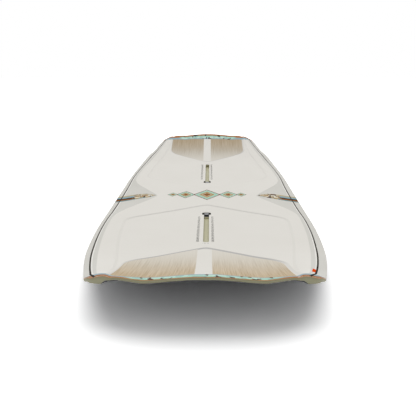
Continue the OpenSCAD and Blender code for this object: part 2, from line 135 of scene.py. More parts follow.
@dataclass(frozen=True)
class BoardForm:
    """Outline, base and deck of the board as functions of h and a."""

    half_length: float = 690.0
    half_width: float = 215.0
    tip_half: float = 147.0
    waist: float = 180.0
    taper: float = 600.0
    tip_flat_half: float = 46.5
    tip_depth: float = 40.0
    corner_blend: float = 14.0
    rocker: float = 76.0
    flat: float = 110.0
    rocker_power: float = 2.5
    centre_t: float = 20.0
    stance_t: float = 16.0
    tip_t: float = 7.0
    thinning_power: float = 0.8
    rail_t: float = 9.0
    tip_rail_t: float = 3.6
    rail_w: float = 10.0
    deck_skin_t: float = 1.2
    base_skin_t: float = 1.0
    stance_start: float = 140.0
    stance_end: float = 395.0
    panel_apex: float = 84.0
    panel_sweep: float = math.radians(37)
    panel_inset: float = 51.0
    panel_step: float = 1.4
    tip_apex: float = 416.0
    tip_sweep: float = math.radians(42)
    tip_panel_half: float = 119.0
    panel_clearance: float = 3.0
    tip_step: float = 1.1
    step_w: float = 3.4
    side_step_w: float = 6.5
    # Painted shade on the steps: how dark the grey on each step's slope is, standing in for the shade those slopes get.
    panel_painted_shade: float = 0.28
    tip_painted_shade: float = 1.0
    side_painted_shade: float = 0.25
    painted_shade_peak: float = 3.4
    painted_shade_fall: float = 4.0
    bevel_w: float = 22.0
    waist_apex: float = 114.0
    waist_flare: float = math.radians(26.5)
    spine_half: float = 16.0
    ridge_x: float = 75.0
    ridge_drop: float = 4.4
    channel_x: float = 122.0
    channel_rise: float = 1.9
    deck_rise: float = 0.4
    ridge_start: float = 330.0
    runner_w: float = 53.0
    runner_depth: float = 5.0
    runner_wall: float = 7.0
    runner_end: float = 145.0
    runner_start: float = 470.0
    runner_fade: float = 120.0
    tuck: float = 4.0
    corner_round: float = 22.0
    apex_round: float = 7.0
    crease_round: float = 5.0
    wave_round: float = 2.5
    stance_round: float = 12.0
    roll_w: float = 14.0
    roll_drop: float = 3.3
    roll_start: float = 610.0
    roll_fade: float = 45.0
    roll_x: float = 108.0
    roll_x_fade: float = 16.0

    @property
    def corner_a(self) -> float:
        """Distance along the board of the tip corners."""
        return self.half_length - self.tip_depth

    @property
    def bow_r(self) -> float:
        """Radius of the arcs in which a tip's edge falls back to the rails."""
        width = float(self.side(self.corner_a)) - self.tip_flat_half
        return (width**2 + self.tip_depth**2) / (2 * self.tip_depth)

    @property
    def bow_a(self) -> float:
        """Distance along the board of the centres of those arcs."""
        return self.half_length - self.bow_r

    @property
    def bow_turn(self) -> float:
        """Angle that each arc covers."""
        return math.acos(1 - self.tip_depth / self.bow_r)

    @property
    def stance_slope(self) -> float:
        """Rise of the straight stance panels."""
        rise = float(self.hull(self.stance_end)) + self.stance_t - self.centre_t
        return rise / (self.stance_end - self.stance_start)

    def side(self, a: Array) -> Array:
        """Half width without the tips: parallel waist, arc, straight taper."""
        arc = self.taper - self.waist
        slope = (self.half_width - self.tip_half) / (arc / 2 + self.half_length - self.taper)
        bend = np.clip(a - self.waist, 0, None) ** 2 / (2 * arc)
        fall = np.where(a <= self.taper, bend, arc / 2 + a - self.taper)
        return self.half_width - slope * fall

    def half(self, a: Array, inset: float = 0.0) -> Array:
        """Half width of the outline, or of the line at an inset from it."""
        side = self.side(a) - inset
        bow = np.sqrt(np.clip((self.bow_r - inset) ** 2 - (a - self.bow_a) ** 2, 0, None))
        return np.where(a <= self.bow_a, side, soft_min(side, self.tip_flat_half + bow, self.corner_blend))

    def tip_edge(self, h: Array, inset: float = 0.0) -> Array:
        """Distance along the board of a tip's edge, or of the line at an inset from it."""
        back = np.clip(h - self.tip_flat_half, 0, None)
        return self.bow_a + np.sqrt((self.bow_r - inset) ** 2 - back**2)

    def tip_outline(self, start: float, inset: float) -> tuple[Array, Array]:
        """Points of the outline from the rail to the middle of a tip.

        Args:
            start: distance along the board of the first point.
            inset: inset from the outline.

        Returns:
            Their h and a.
        """
        turn = np.linspace(self.bow_turn, 0, 40)
        rail = np.linspace(start, self.corner_a - inset, 14, endpoint=False)
        a = np.concatenate([rail, self.bow_a + (self.bow_r - inset) * np.cos(turn)])
        level = np.linspace(self.tip_flat_half, 0, 18)[1:]
        return np.concatenate([self.half(a, inset), level]), np.concatenate([a, np.full(17, a[-1])])

    def hull(self, a: Array) -> Array:
        """Height of the base on the centreline."""
        reach = np.clip(np.asarray(a, float) - self.flat, 0, None) / (self.half_length - self.flat)
        return self.rocker * reach**self.rocker_power

    def wave(self, h: Array, a: Array, start: float, crest: float) -> Array:
        """Ridges and channels across a tip, which grow from start to the tip."""
        knots = [0, self.spine_half, self.ridge_x, self.channel_x]
        heights = [0, 0, -self.ridge_drop, crest]
        spread = np.linspace(-self.wave_round, self.wave_round, 7)
        across = np.mean([np.interp(np.abs(h + d), knots, heights) for d in spread], axis=0)
        return across * smooth((a - start) / (self.half_length - start))

    def runner_foot(self, a: Array) -> Array:
        """Distance from the centreline to a runner's inner wall."""
        return np.maximum(self.side(a) - self.runner_w, self.runner_end - (self.half_length - a))

    def base(self, h: Array, a: Array) -> Array:
        """Height of the base."""
        rise = smooth((a - self.runner_start) / self.runner_fade)
        share = smooth((h - self.runner_foot(a)) / self.runner_wall) * rise
        crest = self.wave(np.full_like(h, self.channel_x), a, self.ridge_start, self.channel_rise)
        edge = self.tuck * smooth((h - self.side(a) + self.rail_w) / self.rail_w) * (1 - rise)
        floor = self.wave(h, a, self.ridge_start, self.channel_rise)
        return self.hull(a) + mix(floor, crest - self.runner_depth, share) + edge - self.corner_roll(h, a)

    def panel_side(self, a: Array) -> Array:
        """Distance from the centreline to the side of a stance panel."""
        least = (self.tip_panel_half + self.panel_clearance) * np.ones_like(a)
        return -soft_min(self.panel_inset - self.side(a), -least, self.corner_round)

    def bevel_line(self, a: Array) -> Array:
        """Distance from the centreline to the bevel along the rail, which widens at the waist."""
        flare = self.waist_apex + np.sqrt(a * a + self.apex_round**2) * math.tan(self.waist_flare)
        return soft_min(self.side(a) - self.bevel_w, flare, self.corner_round)

    def reach(self, h: Array, a: Array, apex: float, sweep: float, edge: Array) -> tuple[Array, Array]:
        """Measures a place in a panel with a swept inner end, a side and rounded corners.

        Args:
            h: distance from the centreline.
            a: distance from the middle of the board.
            apex: distance from the middle to the apex of the swept end.
            sweep: angle of the swept end.
            edge: distance from the centreline to the panel's side.

        Returns:
            Distance inside the panel's border, and 1 beside its swept end or 0 beside its side.
        """
        across = np.sqrt(h * h + self.apex_round**2)
        along = (a - apex) * math.cos(sweep) - across * math.sin(sweep)
        swept = np.clip(0.5 + (edge - h - along) / (2 * self.corner_round), 0, 1)
        return soft_min(along, edge - h, self.corner_round), swept

    def panel_reach(self, h: Array, a: Array) -> tuple[Array, Array]:
        """Place in a stance panel."""
        return self.reach(h, a, self.panel_apex, self.panel_sweep, self.panel_side(a))

    def tip_reach(self, h: Array, a: Array) -> tuple[Array, Array]:
        """Place in a tip panel."""
        return self.reach(h, a, self.tip_apex, self.tip_sweep, np.full_like(h, self.tip_panel_half))

    def steps(self, h: Array, a: Array) -> Array:
        """Fall of the deck's steps, steep at the panels' swept ends and gentle along their sides."""
        fall = np.zeros_like(h)
        for depth, place in ((self.panel_step, self.panel_reach), (self.tip_step, self.tip_reach)):
            reach, swept = place(h, a)
            fall = fall + depth * smooth(reach / mix(self.side_step_w, self.step_w, swept) + 0.5)
        return fall

    def painted_step_shade(self, h: Array, a: Array) -> Array:
        """Darkness of the painted shade on a step, most on the outer one's swept end and least along the sides."""
        shades = []
        for full, place in ((self.panel_painted_shade, self.panel_reach), (self.tip_painted_shade, self.tip_reach)):
            reach, swept = place(h, a)
            band = np.clip(self.painted_shade_peak - self.painted_shade_fall * np.abs(reach) / self.step_w, 0, 1)
            shades.append(full * mix(self.side_painted_shade, 1.0, swept) * band)
        return np.maximum(*shades)

    def corner_roll(self, h: Array, a: Array) -> Array:
        """Extra fall of a tip's corners towards their edge."""
        inset = np.minimum(self.side(a) - h, self.tip_edge(np.minimum(h, self.tip_half)) - a)
        roll = self.roll_drop * np.clip(1 - inset / self.roll_w, 0, 1) ** 2
        roll = roll * smooth((h - self.roll_x) / self.roll_x_fade)
        return roll * smooth((a - self.roll_start) / self.roll_fade)

    def deck_line(self, a: Array) -> Array:
        """Height of the deck on the centreline, before its steps."""
        stance = self.centre_t + self.stance_slope * soft_ramp(a - self.stance_start, self.stance_round)
        share = np.clip(a - self.stance_end, 0, None) / (self.half_length - self.stance_end)
        tip = self.hull(a) + mix(self.stance_t, self.tip_t, share**self.thinning_power)
        return np.where(a <= self.stance_end, stance, tip)

    def edge(self, a: Array) -> Array:
        """Height of the deck at the outline."""
        share = smooth((a - self.waist) / (self.half_length - self.waist))
        side = self.side(a)
        return self.base(side, a) + self.corner_roll(side, a) + mix(self.rail_t, self.tip_rail_t, share)

    def deck(self, h: Array, a: Array) -> Array:
        """Height of the deck."""
        top = self.deck_line(a) + self.wave(h, a, self.tip_apex, self.deck_rise) - self.steps(h, a)
        bevel = self.bevel_line(a)
        share = soft_ramp(h - bevel, self.crease_round) / (self.side(a) - bevel)
        return mix(top, self.edge(a), share) - self.corner_roll(h, a)


@dataclass(frozen=True)
class GridPlan:
    """Plan grid whose rows and columns follow the deck's steps and bevels or the base's runners."""

    form: BoardForm
    before: float = 3.5
    after: float = 9.5
    gap: float = 2.0
    straight: float = 22.0
    far_out: float = 1e6

    def dense(self) -> list[float]:
        """Starts and ends, on the centreline, of the dense rows along the two steps."""
        f = self.form
        spots = ((f.panel_apex, f.panel_sweep), (f.tip_apex, f.tip_sweep))
        return [apex + reach / math.cos(sweep) for apex, sweep in spots for reach in (-self.before, self.after)]

    def stations(self, inset: float) -> Array:
        """Places of the rows on the centreline, from the middle to the tip."""
        f = self.form
        dense = self.dense()
        marks = [
            (0, 7),
            (dense[0], 26),
            (dense[1], 5),
            (f.stance_start + f.stance_round, 10),
            (f.stance_end, 3),
            (dense[2], 26),
            (dense[3], 20),
            (f.corner_a - self.straight, 6),
            (f.corner_a - inset, 0),
        ]
        spans = [np.linspace(p, q, n, endpoint=False) for (p, n), (q, _) in zip(marks, marks[1:], strict=False)]
        arc = f.bow_a + (f.bow_r - inset) * np.cos(np.linspace(f.bow_turn, 0, 32))
        return np.concatenate([*spans, arc])

    def sweep(self, c: Array, h: Array) -> Array:
        """Distance along the board of a row's points, which sweeps outwards with the steps."""
        f = self.form
        marks = [0, *self.dense(), f.corner_a - self.straight]
        p, t = math.tan(f.panel_sweep), math.tan(f.tip_sweep)
        turn = np.interp(c, [f.panel_apex, f.tip_apex], [f.half_width - f.panel_inset, f.tip_panel_half])
        return c + np.interp(c, marks, [0, p, p, t, t, 0]) * np.minimum(h, turn)

    def columns(self, breaks: Sequence[Array], counts: Sequence[int]) -> Array:
        """Splits the stretches between breaks into counts of columns."""
        split = [
            p + (q - p) * t
            for p, q, n in zip(breaks, breaks[1:], counts, strict=False)
            for t in np.linspace(0, 1, n, endpoint=False)
        ]
        return np.stack([*split, breaks[-1]], axis=1)

    def whole(self, h: Array, a: Array) -> tuple[Array, Array]:
        """Mirrors a quarter of the grid to the whole board.

        Args:
            h: distances from the centreline, one row for each station.
            a: distances from the middle.

        Returns:
            X and Y of the whole grid.
        """
        x = np.concatenate([-h[:, :0:-1], h], axis=1)
        y = np.concatenate([a[:, :0:-1], a], axis=1)
        return np.concatenate([x[:0:-1], x]), np.concatenate([-y[:0:-1], y])

    def rows(self, inset: float) -> tuple[Array, Array, Array, Array]:
        """Places of the rows on the centreline and at the rail, and the half widths to edge and rail there."""
        c = self.stations(inset)
        a = self.sweep(c, np.full_like(c, self.far_out))
        edge = self.form.half(a, inset)
        return c, a, edge, edge - self.form.rail_w

    def deck(self, inset: float) -> tuple[Array, Array]:
        """X and Y of the deck's grid at an inset from the outline."""
        f = self.form
        c, a, edge, rail = self.rows(inset)
        high = np.minimum(f.bevel_line(a) + f.crease_round, rail - self.gap)
        low = np.minimum(f.bevel_line(a) - f.crease_round, high - self.gap)
        outer = np.minimum(f.panel_side(a) + self.before, low - self.gap)
        inner = np.minimum(f.panel_side(a) - self.after, outer - self.gap)
        panel = np.minimum(f.tip_panel_half - self.after, inner - self.gap)
        ridge = np.minimum(f.ridge_x, panel - self.gap)
        spine = np.minimum(f.spine_half, ridge - self.gap)
        breaks = [0 * a, spine, (spine + ridge) / 2, ridge, panel, inner, outer, low, high, rail, edge]
        h = self.columns(breaks, [4, 5, 9, 10, 9, 24, 3, 8, 4, 6])
        return self.whole(h, self.sweep(c[:, None], h))

    def base(self, inset: float) -> tuple[Array, Array]:
        """X and Y of the base's grid at an inset from the outline."""
        f = self.form
        _, a, edge, rail = self.rows(inset)
        crest = np.minimum(f.runner_foot(a) + f.runner_wall, rail - self.gap)
        foot = np.minimum(f.runner_foot(a), crest - self.gap)
        ridge = np.minimum(f.ridge_x, foot - 3 * self.gap)
        spine = np.minimum(f.spine_half, ridge - self.gap)
        breaks = [0 * a, spine, (spine + ridge) / 2, ridge, (ridge + foot) / 2, foot, crest, rail, edge]
        h = self.columns(breaks, [4, 5, 6, 7, 7, 8, 8, 10])
        return self.whole(h, np.repeat(a[:, None], h.shape[1], axis=1))


# Meshes


def grid_faces(rows: int, cols: int, start: int = 0) -> list[tuple[int, int, int, int]]:
    """Quads of a grid of points that are numbered row by row."""
    ids = start + np.arange(rows * cols).reshape(rows, cols)
    quads = np.stack([ids[:-1, :-1], ids[:-1, 1:], ids[1:, 1:], ids[1:, :-1]], axis=-1)
    return [tuple(q) for q in quads.reshape(-1, 4).tolist()]


def rim_of(grid: Array) -> Array:
    """Values round the border of a grid, in order."""
    return np.concatenate([grid[0, :], grid[1:, -1], grid[-1, -2::-1], grid[-2:0:-1, 0]])


def ring_faces(loops: Sequence[Sequence[int]]) -> list[tuple[int, ...]]:
    """Quads between loops of points that follow each other."""
    faces = []
    for p, q in zip(loops, loops[1:], strict=False):
        n = len(p)
        faces += [(p[i], p[(i + 1) % n], q[(i + 1) % n], q[i]) for i in range(n)]
    return faces


def xyz(x: Array, y: Array, z: Array) -> Array:
    """Points from their X, Y and Z."""
    return np.stack([x, y, z], axis=-1)


@contextmanager
def opened(mesh: bpy.types.Mesh, weld: float) -> Iterator[bmesh.types.BMesh]:
    """Opens a mesh for edits, with points closer than weld made one, and writes it back."""
    work = bmesh.new()
    work.from_mesh(mesh)
    bmesh.ops.remove_doubles(work, verts=work.verts, dist=weld)
    yield work
    work.to_mesh(mesh)
    work.free()


def make_mesh(name: str, points: Array, faces: Sequence[Sequence[int]], sharp: float = 30.0) -> bpy.types.Mesh:
    """Makes a closed mesh with outward, smooth faces.

    Args:
        name: name of the mesh.
        points: places of the points in millimetres.
        faces: corners of each face.
        sharp: edges that turn by more degrees than this stay sharp.

    Returns:
        The mesh, in metres.
    """
    mesh = bpy.data.meshes.new(name)
    mesh.from_pydata((np.asarray(points, float) * MM).tolist(), [], list(faces))
    with opened(mesh, WELD) as work:
        bmesh.ops.recalc_face_normals(work, faces=work.faces)
    return shade(mesh, sharp)


def shade(mesh: bpy.types.Mesh, sharp: float = 30.0) -> bpy.types.Mesh:
    """Makes a mesh smooth apart from its sharp edges."""
    mesh.polygons.foreach_set("use_smooth", [True] * len(mesh.polygons))
    mesh.set_sharp_from_angle(angle=math.radians(sharp))
    mesh.update()
    return mesh


def closed_grid(name: str, outer: Array, inner: Array, rims: Sequence[Array] = ()) -> bpy.types.Mesh:
    """Closes the space between two grids of points.

    Args:
        name: name of the mesh.
        outer: points of one face, by row and column.
        inner: points of the other face.
        rims: loops of points round the border, from outer to inner.

    Returns:
        The mesh.
    """
    rows, cols, _ = outer.shape
    count = rows * cols
    border = rim_of(np.arange(count).reshape(rows, cols))
    n = len(border)
    between = [range(2 * count + i * n, 2 * count + (i + 1) * n) for i in range(len(rims))]
    faces = grid_faces(rows, cols) + grid_faces(rows, cols, count)
    faces += ring_faces([border.tolist(), *between, (border + count).tolist()])
    return make_mesh(name, np.concatenate([outer.reshape(-1, 3), inner.reshape(-1, 3), *rims]), faces)


def tube(name: str, rings: Sequence[Array], sharp: float) -> bpy.types.Mesh:
    """Closed band through rings of points, the last of which joins the first."""
    n = len(rings[0])
    loops = [range(i * n, (i + 1) * n) for i in range(len(rings))]
    return make_mesh(name, np.concatenate(rings), ring_faces([*loops, loops[0]]), sharp)


def prism_faces(n: int) -> list[tuple[int, ...]]:
    """Faces of a prism whose ends have n corners each."""
    low, high = range(n), range(n, 2 * n)
    return [tuple(low), tuple(high), *ring_faces([low, high])]


def set_values(mesh: bpy.types.Mesh, name: str, values: Array) -> None:
    """Stores one number for each point of a mesh."""
    layer = mesh.attributes.get(name) or mesh.attributes.new(name, "FLOAT", "POINT")
    layer.data.foreach_set("value", np.asarray(values, np.float32).ravel())


def places(mesh: bpy.types.Mesh) -> Array:
    """Points of a mesh in millimetres."""
    flat = np.zeros(len(mesh.vertices) * 3, np.float32)
    mesh.vertices.foreach_get("co", flat)
    return flat.reshape(-1, 3).astype(float) / MM


def joined(name: str, parts: Sequence[tuple[bpy.types.Mesh, Matrix]]) -> bpy.types.Mesh:
    """Joins meshes, each moved to its place, into one."""
    work = bmesh.new()
    for mesh, place in parts:
        copy = mesh.copy()
        copy.transform(place)
        work.from_mesh(copy)
        bpy.data.meshes.remove(copy)
    made = bpy.data.meshes.new(name)
    work.to_mesh(made)
    work.free()
    return made


def add_object(name: str, data: bpy.types.ID) -> bpy.types.Object:
    """Adds a mesh, curve, lamp or camera to the scene as an object at the origin."""
    made = bpy.data.objects.new(name, data)
    bpy.context.scene.collection.objects.link(made)
    return made


def plain(piece: bpy.types.Object) -> bpy.types.Mesh:
    """Plain mesh of a piece as its modifiers show it."""
    bpy.context.view_layer.update()
    return bpy.data.meshes.new_from_object(piece.evaluated_get(bpy.context.evaluated_depsgraph_get()))


def settle(piece: bpy.types.Object) -> bpy.types.Object:
    """Turns a piece's modifiers into its plain mesh."""
    made = plain(piece)
    piece.modifiers.clear()
    piece.data = made
    return piece


def cut(piece: bpy.types.Object, cutter: bpy.types.Mesh) -> None:
    """Cuts the shape of a closed mesh out of a piece."""
    tool = add_object(f"{piece.name}_cutter", cutter)
    step = piece.modifiers.new("cut", "BOOLEAN")
    step.operation, step.solver, step.object = "DIFFERENCE", "EXACT", tool
    settle(piece)
    bpy.data.objects.remove(tool)


def prism(name: str, outline: Sequence[tuple[float, float]], low: float, high: float) -> bpy.types.Mesh:
    """Straight prism over a plan outline."""
    points = [(x, y, z) for z in (low, high) for x, y in outline]
    return make_mesh(name, np.array(points), prism_faces(len(outline)))


def lathe(name: str, profile: Sequence[tuple[float, float]], steps: int = 48, sharp: float = 30.0) -> bpy.types.Mesh:
    """Turned solid from a profile of radius and height that starts and ends on the axis."""
    angles = np.linspace(0, 2 * math.pi, steps, endpoint=False)
    rings = [[(r * math.cos(t), r * math.sin(t), z) for t in angles] for r, z in profile[1:-1]]
    points = [(0.0, 0.0, profile[0][1]), (0.0, 0.0, profile[-1][1]), *[p for ring in rings for p in ring]]
    loops = [range(2 + i * steps, 2 + (i + 1) * steps) for i in range(len(rings))]
    faces = ring_faces(loops)
    for tip, loop in enumerate((loops[0], loops[-1])):
        faces += [(tip, loop[k], loop[(k + 1) % steps]) for k in range(steps)]
    return make_mesh(name, np.array(points), faces, sharp)


# Finishes


@dataclass
class Graph:
    """Shader nodes of a material or a world while it is built."""

    owner: bpy.types.Material | bpy.types.World

    def __post_init__(self) -> None:
        """Starts without nodes."""
        self.owner.use_nodes = True
        self.owner.node_tree.nodes.clear()

    def node(self, kind: str, **inputs: object) -> bpy.types.Node:
        """Adds a node.

        Args:
            kind: Blender's name of the node.
            inputs: values or sockets for its inputs, by name with _ for a blank.

        Returns:
            The node.
        """
        made = self.owner.node_tree.nodes.new(kind)
        for name, value in inputs.items():
            self.feed(made.inputs[name.replace("_", " ")], value)
        return made

    def feed(self, socket: Socket, value: object) -> None:
        """Links a socket to an input, or sets its value."""
        if isinstance(value, bpy.types.NodeSocket):
            self.owner.node_tree.links.new(value, socket)
        else:
            socket.default_value = value

    def math(self, how: str, p: object, q: object = 0.0) -> Socket:
        """Result of an operation on one or two numbers."""
        made = self.node("ShaderNodeMath")
        made.operation = how
        self.feed(made.inputs[0], p)
        self.feed(made.inputs[1], q)
        return made.outputs[0]

    def between(self, value: object, low: float, high: float, to_low: float = 0.0, to_high: float = 1.0) -> Socket:
        """Number that runs smoothly from to_low to to_high while value runs from low to high."""
        made = self.node("ShaderNodeMapRange")
        made.interpolation_type = "SMOOTHSTEP"
        for socket, given in zip(made.inputs, (value, low, high, to_low, to_high), strict=False):
            self.feed(socket, given)
        return made.outputs[0]

    def blend(self, share: object, p: object, q: object, how: str = "MIX") -> Socket:
        """Mix of two colours."""
        made = self.node("ShaderNodeMix")
        made.data_type, made.blend_type = "RGBA", how
        self.feed(made.inputs[0], share)
        self.feed(made.inputs[6], p)
        self.feed(made.inputs[7], q)
        return made.outputs[2]

    def ramp(self, value: object, stops: Sequence[tuple[float, Colour]], how: str = "LINEAR") -> Socket:
        """Colour at a place on a scale of colours."""
        made = self.node("ShaderNodeValToRGB", Fac=value)
        scale = made.color_ramp
        scale.interpolation = how
        while len(scale.elements) < len(stops):
            scale.elements.new(1.0)
        for element, (place, colour) in zip(scale.elements, stops, strict=True):
            element.position, element.color = place, linear(colour)
        return made.outputs[0]

    def where(self, scale: Sequence[float] = (1.0, 1.0, 1.0)) -> Socket:
        """Place on the object in metres, stretched by scale."""
        place = self.node("ShaderNodeTexCoord").outputs["Object"]
        return self.node("ShaderNodeMapping", Vector=place, Scale=scale).outputs[0]

    def along(self, name: str) -> Socket:
        """Number that the mesh stores under a name."""
        made = self.node("ShaderNodeAttribute")
        made.attribute_name = name
        return made.outputs["Fac"]

    def noise(self, scale: float, detail: float = 2.0, stretch: Sequence[float] = (1.0, 1.0, 1.0)) -> Socket:
        """Even noise from 0 to 1, with scale in features for each metre."""
        place = self.where(stretch)
        return self.node("ShaderNodeTexNoise", Vector=place, Scale=scale, Detail=detail).outputs["Fac"]

    def bump(self, height: object, distance: float) -> Socket:
        """Normal of a surface with a fine relief, distance in millimetres."""
        return self.node("ShaderNodeBump", Height=height, Distance=distance * MM, Strength=1.0).outputs[0]


@dataclass(frozen=True)
class Finish:
    """A finish with fine mottling, relief and gloss."""

    name: str
    colour: Colour
    roughness: float = 0.45
    metallic: float = 0.0
    coat: float = 0.0
    specular: float = 0.5
    mottle: float = 0.06
    grain: float = 500.0
    relief: float = 0.02
    coat_roughness: float = 0.12

    def material(self) -> bpy.types.Material:
        """The finish as a material, made once."""
        made = bpy.data.materials.get(self.name)
        if made:
            return made
        made = bpy.data.materials.new(self.name)
        graph = Graph(made)
        shader = graph.node(
            "ShaderNodeBsdfPrincipled",
            Base_Color=self.paint(graph),
            Metallic=self.metallic,
            Roughness=self.gloss(graph),
            Normal=self.surface(graph),
            Specular_IOR_Level=self.specular,
            Coat_Weight=self.coat,
            Coat_Roughness=self.coat_roughness,
        )
        graph.node("ShaderNodeOutputMaterial", Surface=shader.outputs[0])
        return made

    def mottled(self, graph: Graph, colour: object) -> Socket:
        """A colour with fine light and dark specks."""
        tone = graph.between(graph.noise(self.grain, 3.0), 0.25, 0.75, 1 - self.mottle, 1 + self.mottle)
        grey = graph.node("ShaderNodeCombineColor", Red=tone, Green=tone, Blue=tone).outputs[0]
        return graph.blend(1.0, colour, grey, "MULTIPLY")

    def paint(self, graph: Graph) -> Socket:
        """Colour of the finish."""
        return self.mottled(graph, linear(self.colour))

    def gloss(self, graph: Graph) -> Socket:
        """Roughness of the finish, a little uneven."""
        return graph.between(graph.noise(14.0), 0.2, 0.8, self.roughness * 0.88, self.roughness * 1.12)

    def surface(self, graph: Graph) -> Socket:
        """Fine relief of the finish."""
        return graph.bump(graph.noise(self.grain * 1.6, 2.0), self.relief)


@dataclass(frozen=True)
class DeckFinish(Finish):
    """Pale top sheet with grey bevels, a pale line along the pinstripe, painted shade on the steps and a darker edge at
    the tips.
    """

    bevel_grey: Colour = (205, 203, 196)
    pale_line: Colour = (232, 230, 224)
    step_shade_grey: Colour = (184, 182, 179)
    rim_khaki: Colour = (154, 151, 120)
    edge_brown: Colour = (178, 122, 78)
    bevel_blur: float = 0.8
    line_in: tuple[float, float] = (0.8, 1.4)
    line_out: tuple[float, float] = (3.7, 3.1)
    tip_from: tuple[float, float] = (60, 40)

    def paint(self, graph: Graph) -> Socket:
        """Pale deck, grey beyond the bevel line."""
        beyond = graph.between(graph.along("bevel"), -self.bevel_blur, self.bevel_blur)
        deck = graph.blend(beyond, linear(self.colour), linear(self.bevel_grey))
        beside = graph.along("pin")
        line = graph.math("MULTIPLY", *(graph.between(beside, *ends) for ends in (self.line_in, self.line_out)))
        deck = graph.blend(line, deck, linear(self.pale_line))
        # Painted shade: grey where the mesh stores the steps' shade, darkest on the outer step's swept end.
        deck = graph.blend(graph.along("step"), deck, linear(self.step_shade_grey))
        rim = graph.along("rim")
        near = graph.between(graph.along("tip"), *self.tip_from)
        tip = graph.math("MULTIPLY", graph.between(rim, 0.4, 0.6), near)
        deck = graph.blend(tip, deck, linear(self.edge_brown))
        wall = graph.math("MULTIPLY", graph.between(rim, 1.3, 1.6), tip)
        return self.mottled(graph, graph.blend(wall, deck, linear(self.rim_khaki)))


@dataclass(frozen=True)
class WoodPrint(Finish):
    """Wood grain, tan at the tip, that fades into the deck towards the middle of the board."""

    # Painted light and shade: tone lightens or darkens the whole print, so one tip's wood is a lighter copy and the
    # other's a darker one.
    tone: float = 1.0
    pale: Colour = (221, 217, 208)
    inner: tuple[Colour, Colour, Colour] = ((190, 180, 162), (205, 196, 180), (216, 208, 194))
    outer: tuple[Colour, Colour, Colour] = ((173, 151, 119), (194, 175, 147), (208, 191, 164))
    stops: tuple[float, float, float] = (0.3, 0.5, 0.7)
    fine: float = 760.0
    broad: float = 150.0
    fine_share: float = 0.8

    def painted_light_tints(self, tints: Sequence[Colour]) -> list[tuple[float, Colour]]:
        """Scale of wood colours, lightened or darkened by this print's tone as painted light and shade."""
        return [(stop, tuple(self.tone * c for c in tint)) for stop, tint in zip(self.stops, tints, strict=True)]

    def paint(self, graph: Graph) -> Socket:
        """Streaks along the board, fading with the panel's length."""
        fine = graph.math("MULTIPLY", graph.noise(self.fine, 3.0, (1.0, 0.016, 0.0)), self.fine_share)
        broad = graph.math("MULTIPLY", graph.noise(self.broad, 2.0, (1.0, 0.02, 0.0)), 1 - self.fine_share)
        grain = graph.math("ADD", fine, broad)
        near, far = (graph.ramp(grain, self.painted_light_tints(tints)) for tints in (self.outer, self.inner))
        reach = graph.along("fade")
        wood = graph.blend(graph.between(reach, 0.3, 0.95), far, near)
        return graph.blend(graph.between(reach, 0.0, 0.6, 0.08, 1.0), linear(self.pale), wood)


@dataclass(frozen=True)
class BandPrint(Finish):
    """Bands of colour across a printed strip, with other bands and dark breaks in its middle."""

    stops: tuple[tuple[float, Colour], ...] = ()
    middle: tuple[tuple[float, Colour], ...] = ()
    other: tuple[tuple[float, Colour], ...] = ()
    dark: Colour = (92, 78, 70)
    breaks: float = 0.62
    break_blur: float = 0.03
    specks: float = 110.0
    ripples: float = 38.0
    ripple_w: float = 0.14

    def paint(self, graph: Graph) -> Socket:
        """Bands by the strip's stored width and ends."""
        ripple = graph.math("SUBTRACT", graph.noise(self.ripples, 3.0, (1.0, 1.0, 0.0)), 0.5)
        across = graph.math("ADD", graph.along("across"), graph.math("MULTIPLY", ripple, self.ripple_w))
        sets = (self.stops, self.middle, self.other)
        bands, inner, second = (graph.ramp(across, stops, "CONSTANT") for stops in sets)
        patches, specks = (graph.noise(size, 1.0, (1.0, 0.3, 0.0)) for size in (self.specks * 0.5, self.specks))
        inner = graph.blend(graph.between(patches, 0.49, 0.51), inner, second)
        broken = graph.between(specks, self.breaks, self.breaks + self.break_blur)
        inner = graph.blend(broken, inner, linear(self.dark))
        return self.mottled(graph, graph.blend(graph.between(graph.along("ends"), 0.7, 0.6), bands, inner))


@dataclass(frozen=True)
class FibreBase(Finish):
    """Dark glossy base over a faint weave, with the rail's colour on its rim."""

    rim_khaki: Colour = (154, 151, 120)
    weave: float = 330.0
    streaks: float = 160.0

    def paint(self, graph: Graph) -> Socket:
        """Dark colour with a fine crossed weave and lengthwise streaks."""
        light, dark = (linear([c * tone for c in self.colour]) for tone in (1.1, 0.9))
        wave = graph.node("ShaderNodeTexChecker", Vector=graph.where(), Color1=light, Color2=dark, Scale=self.weave)
        streak = graph.between(graph.noise(self.streaks, 3.0, (1.0, 0.02, 0.0)), 0.3, 0.7, 0.0, 0.35)
        lighter = linear([min(255, c * 1.5) for c in self.colour])
        base = graph.blend(streak, wave.outputs[0], lighter)
        return graph.blend(graph.along("rim"), base, linear(self.rim_khaki))


@dataclass(frozen=True)
class TimberFinish(Finish):
    """Bare timber with growth lines along the board."""

    lines: float = 260.0
    dark: float = 0.72

    def paint(self, graph: Graph) -> Socket:
        """Straight growth lines with fine pores."""
        lines = graph.noise(self.lines, 4.0, (1.0, 0.03, 0.6))
        dark = tuple(c * self.dark for c in self.colour)
        return self.mottled(graph, graph.ramp(lines, [(0.35, dark), (0.62, self.colour)]))


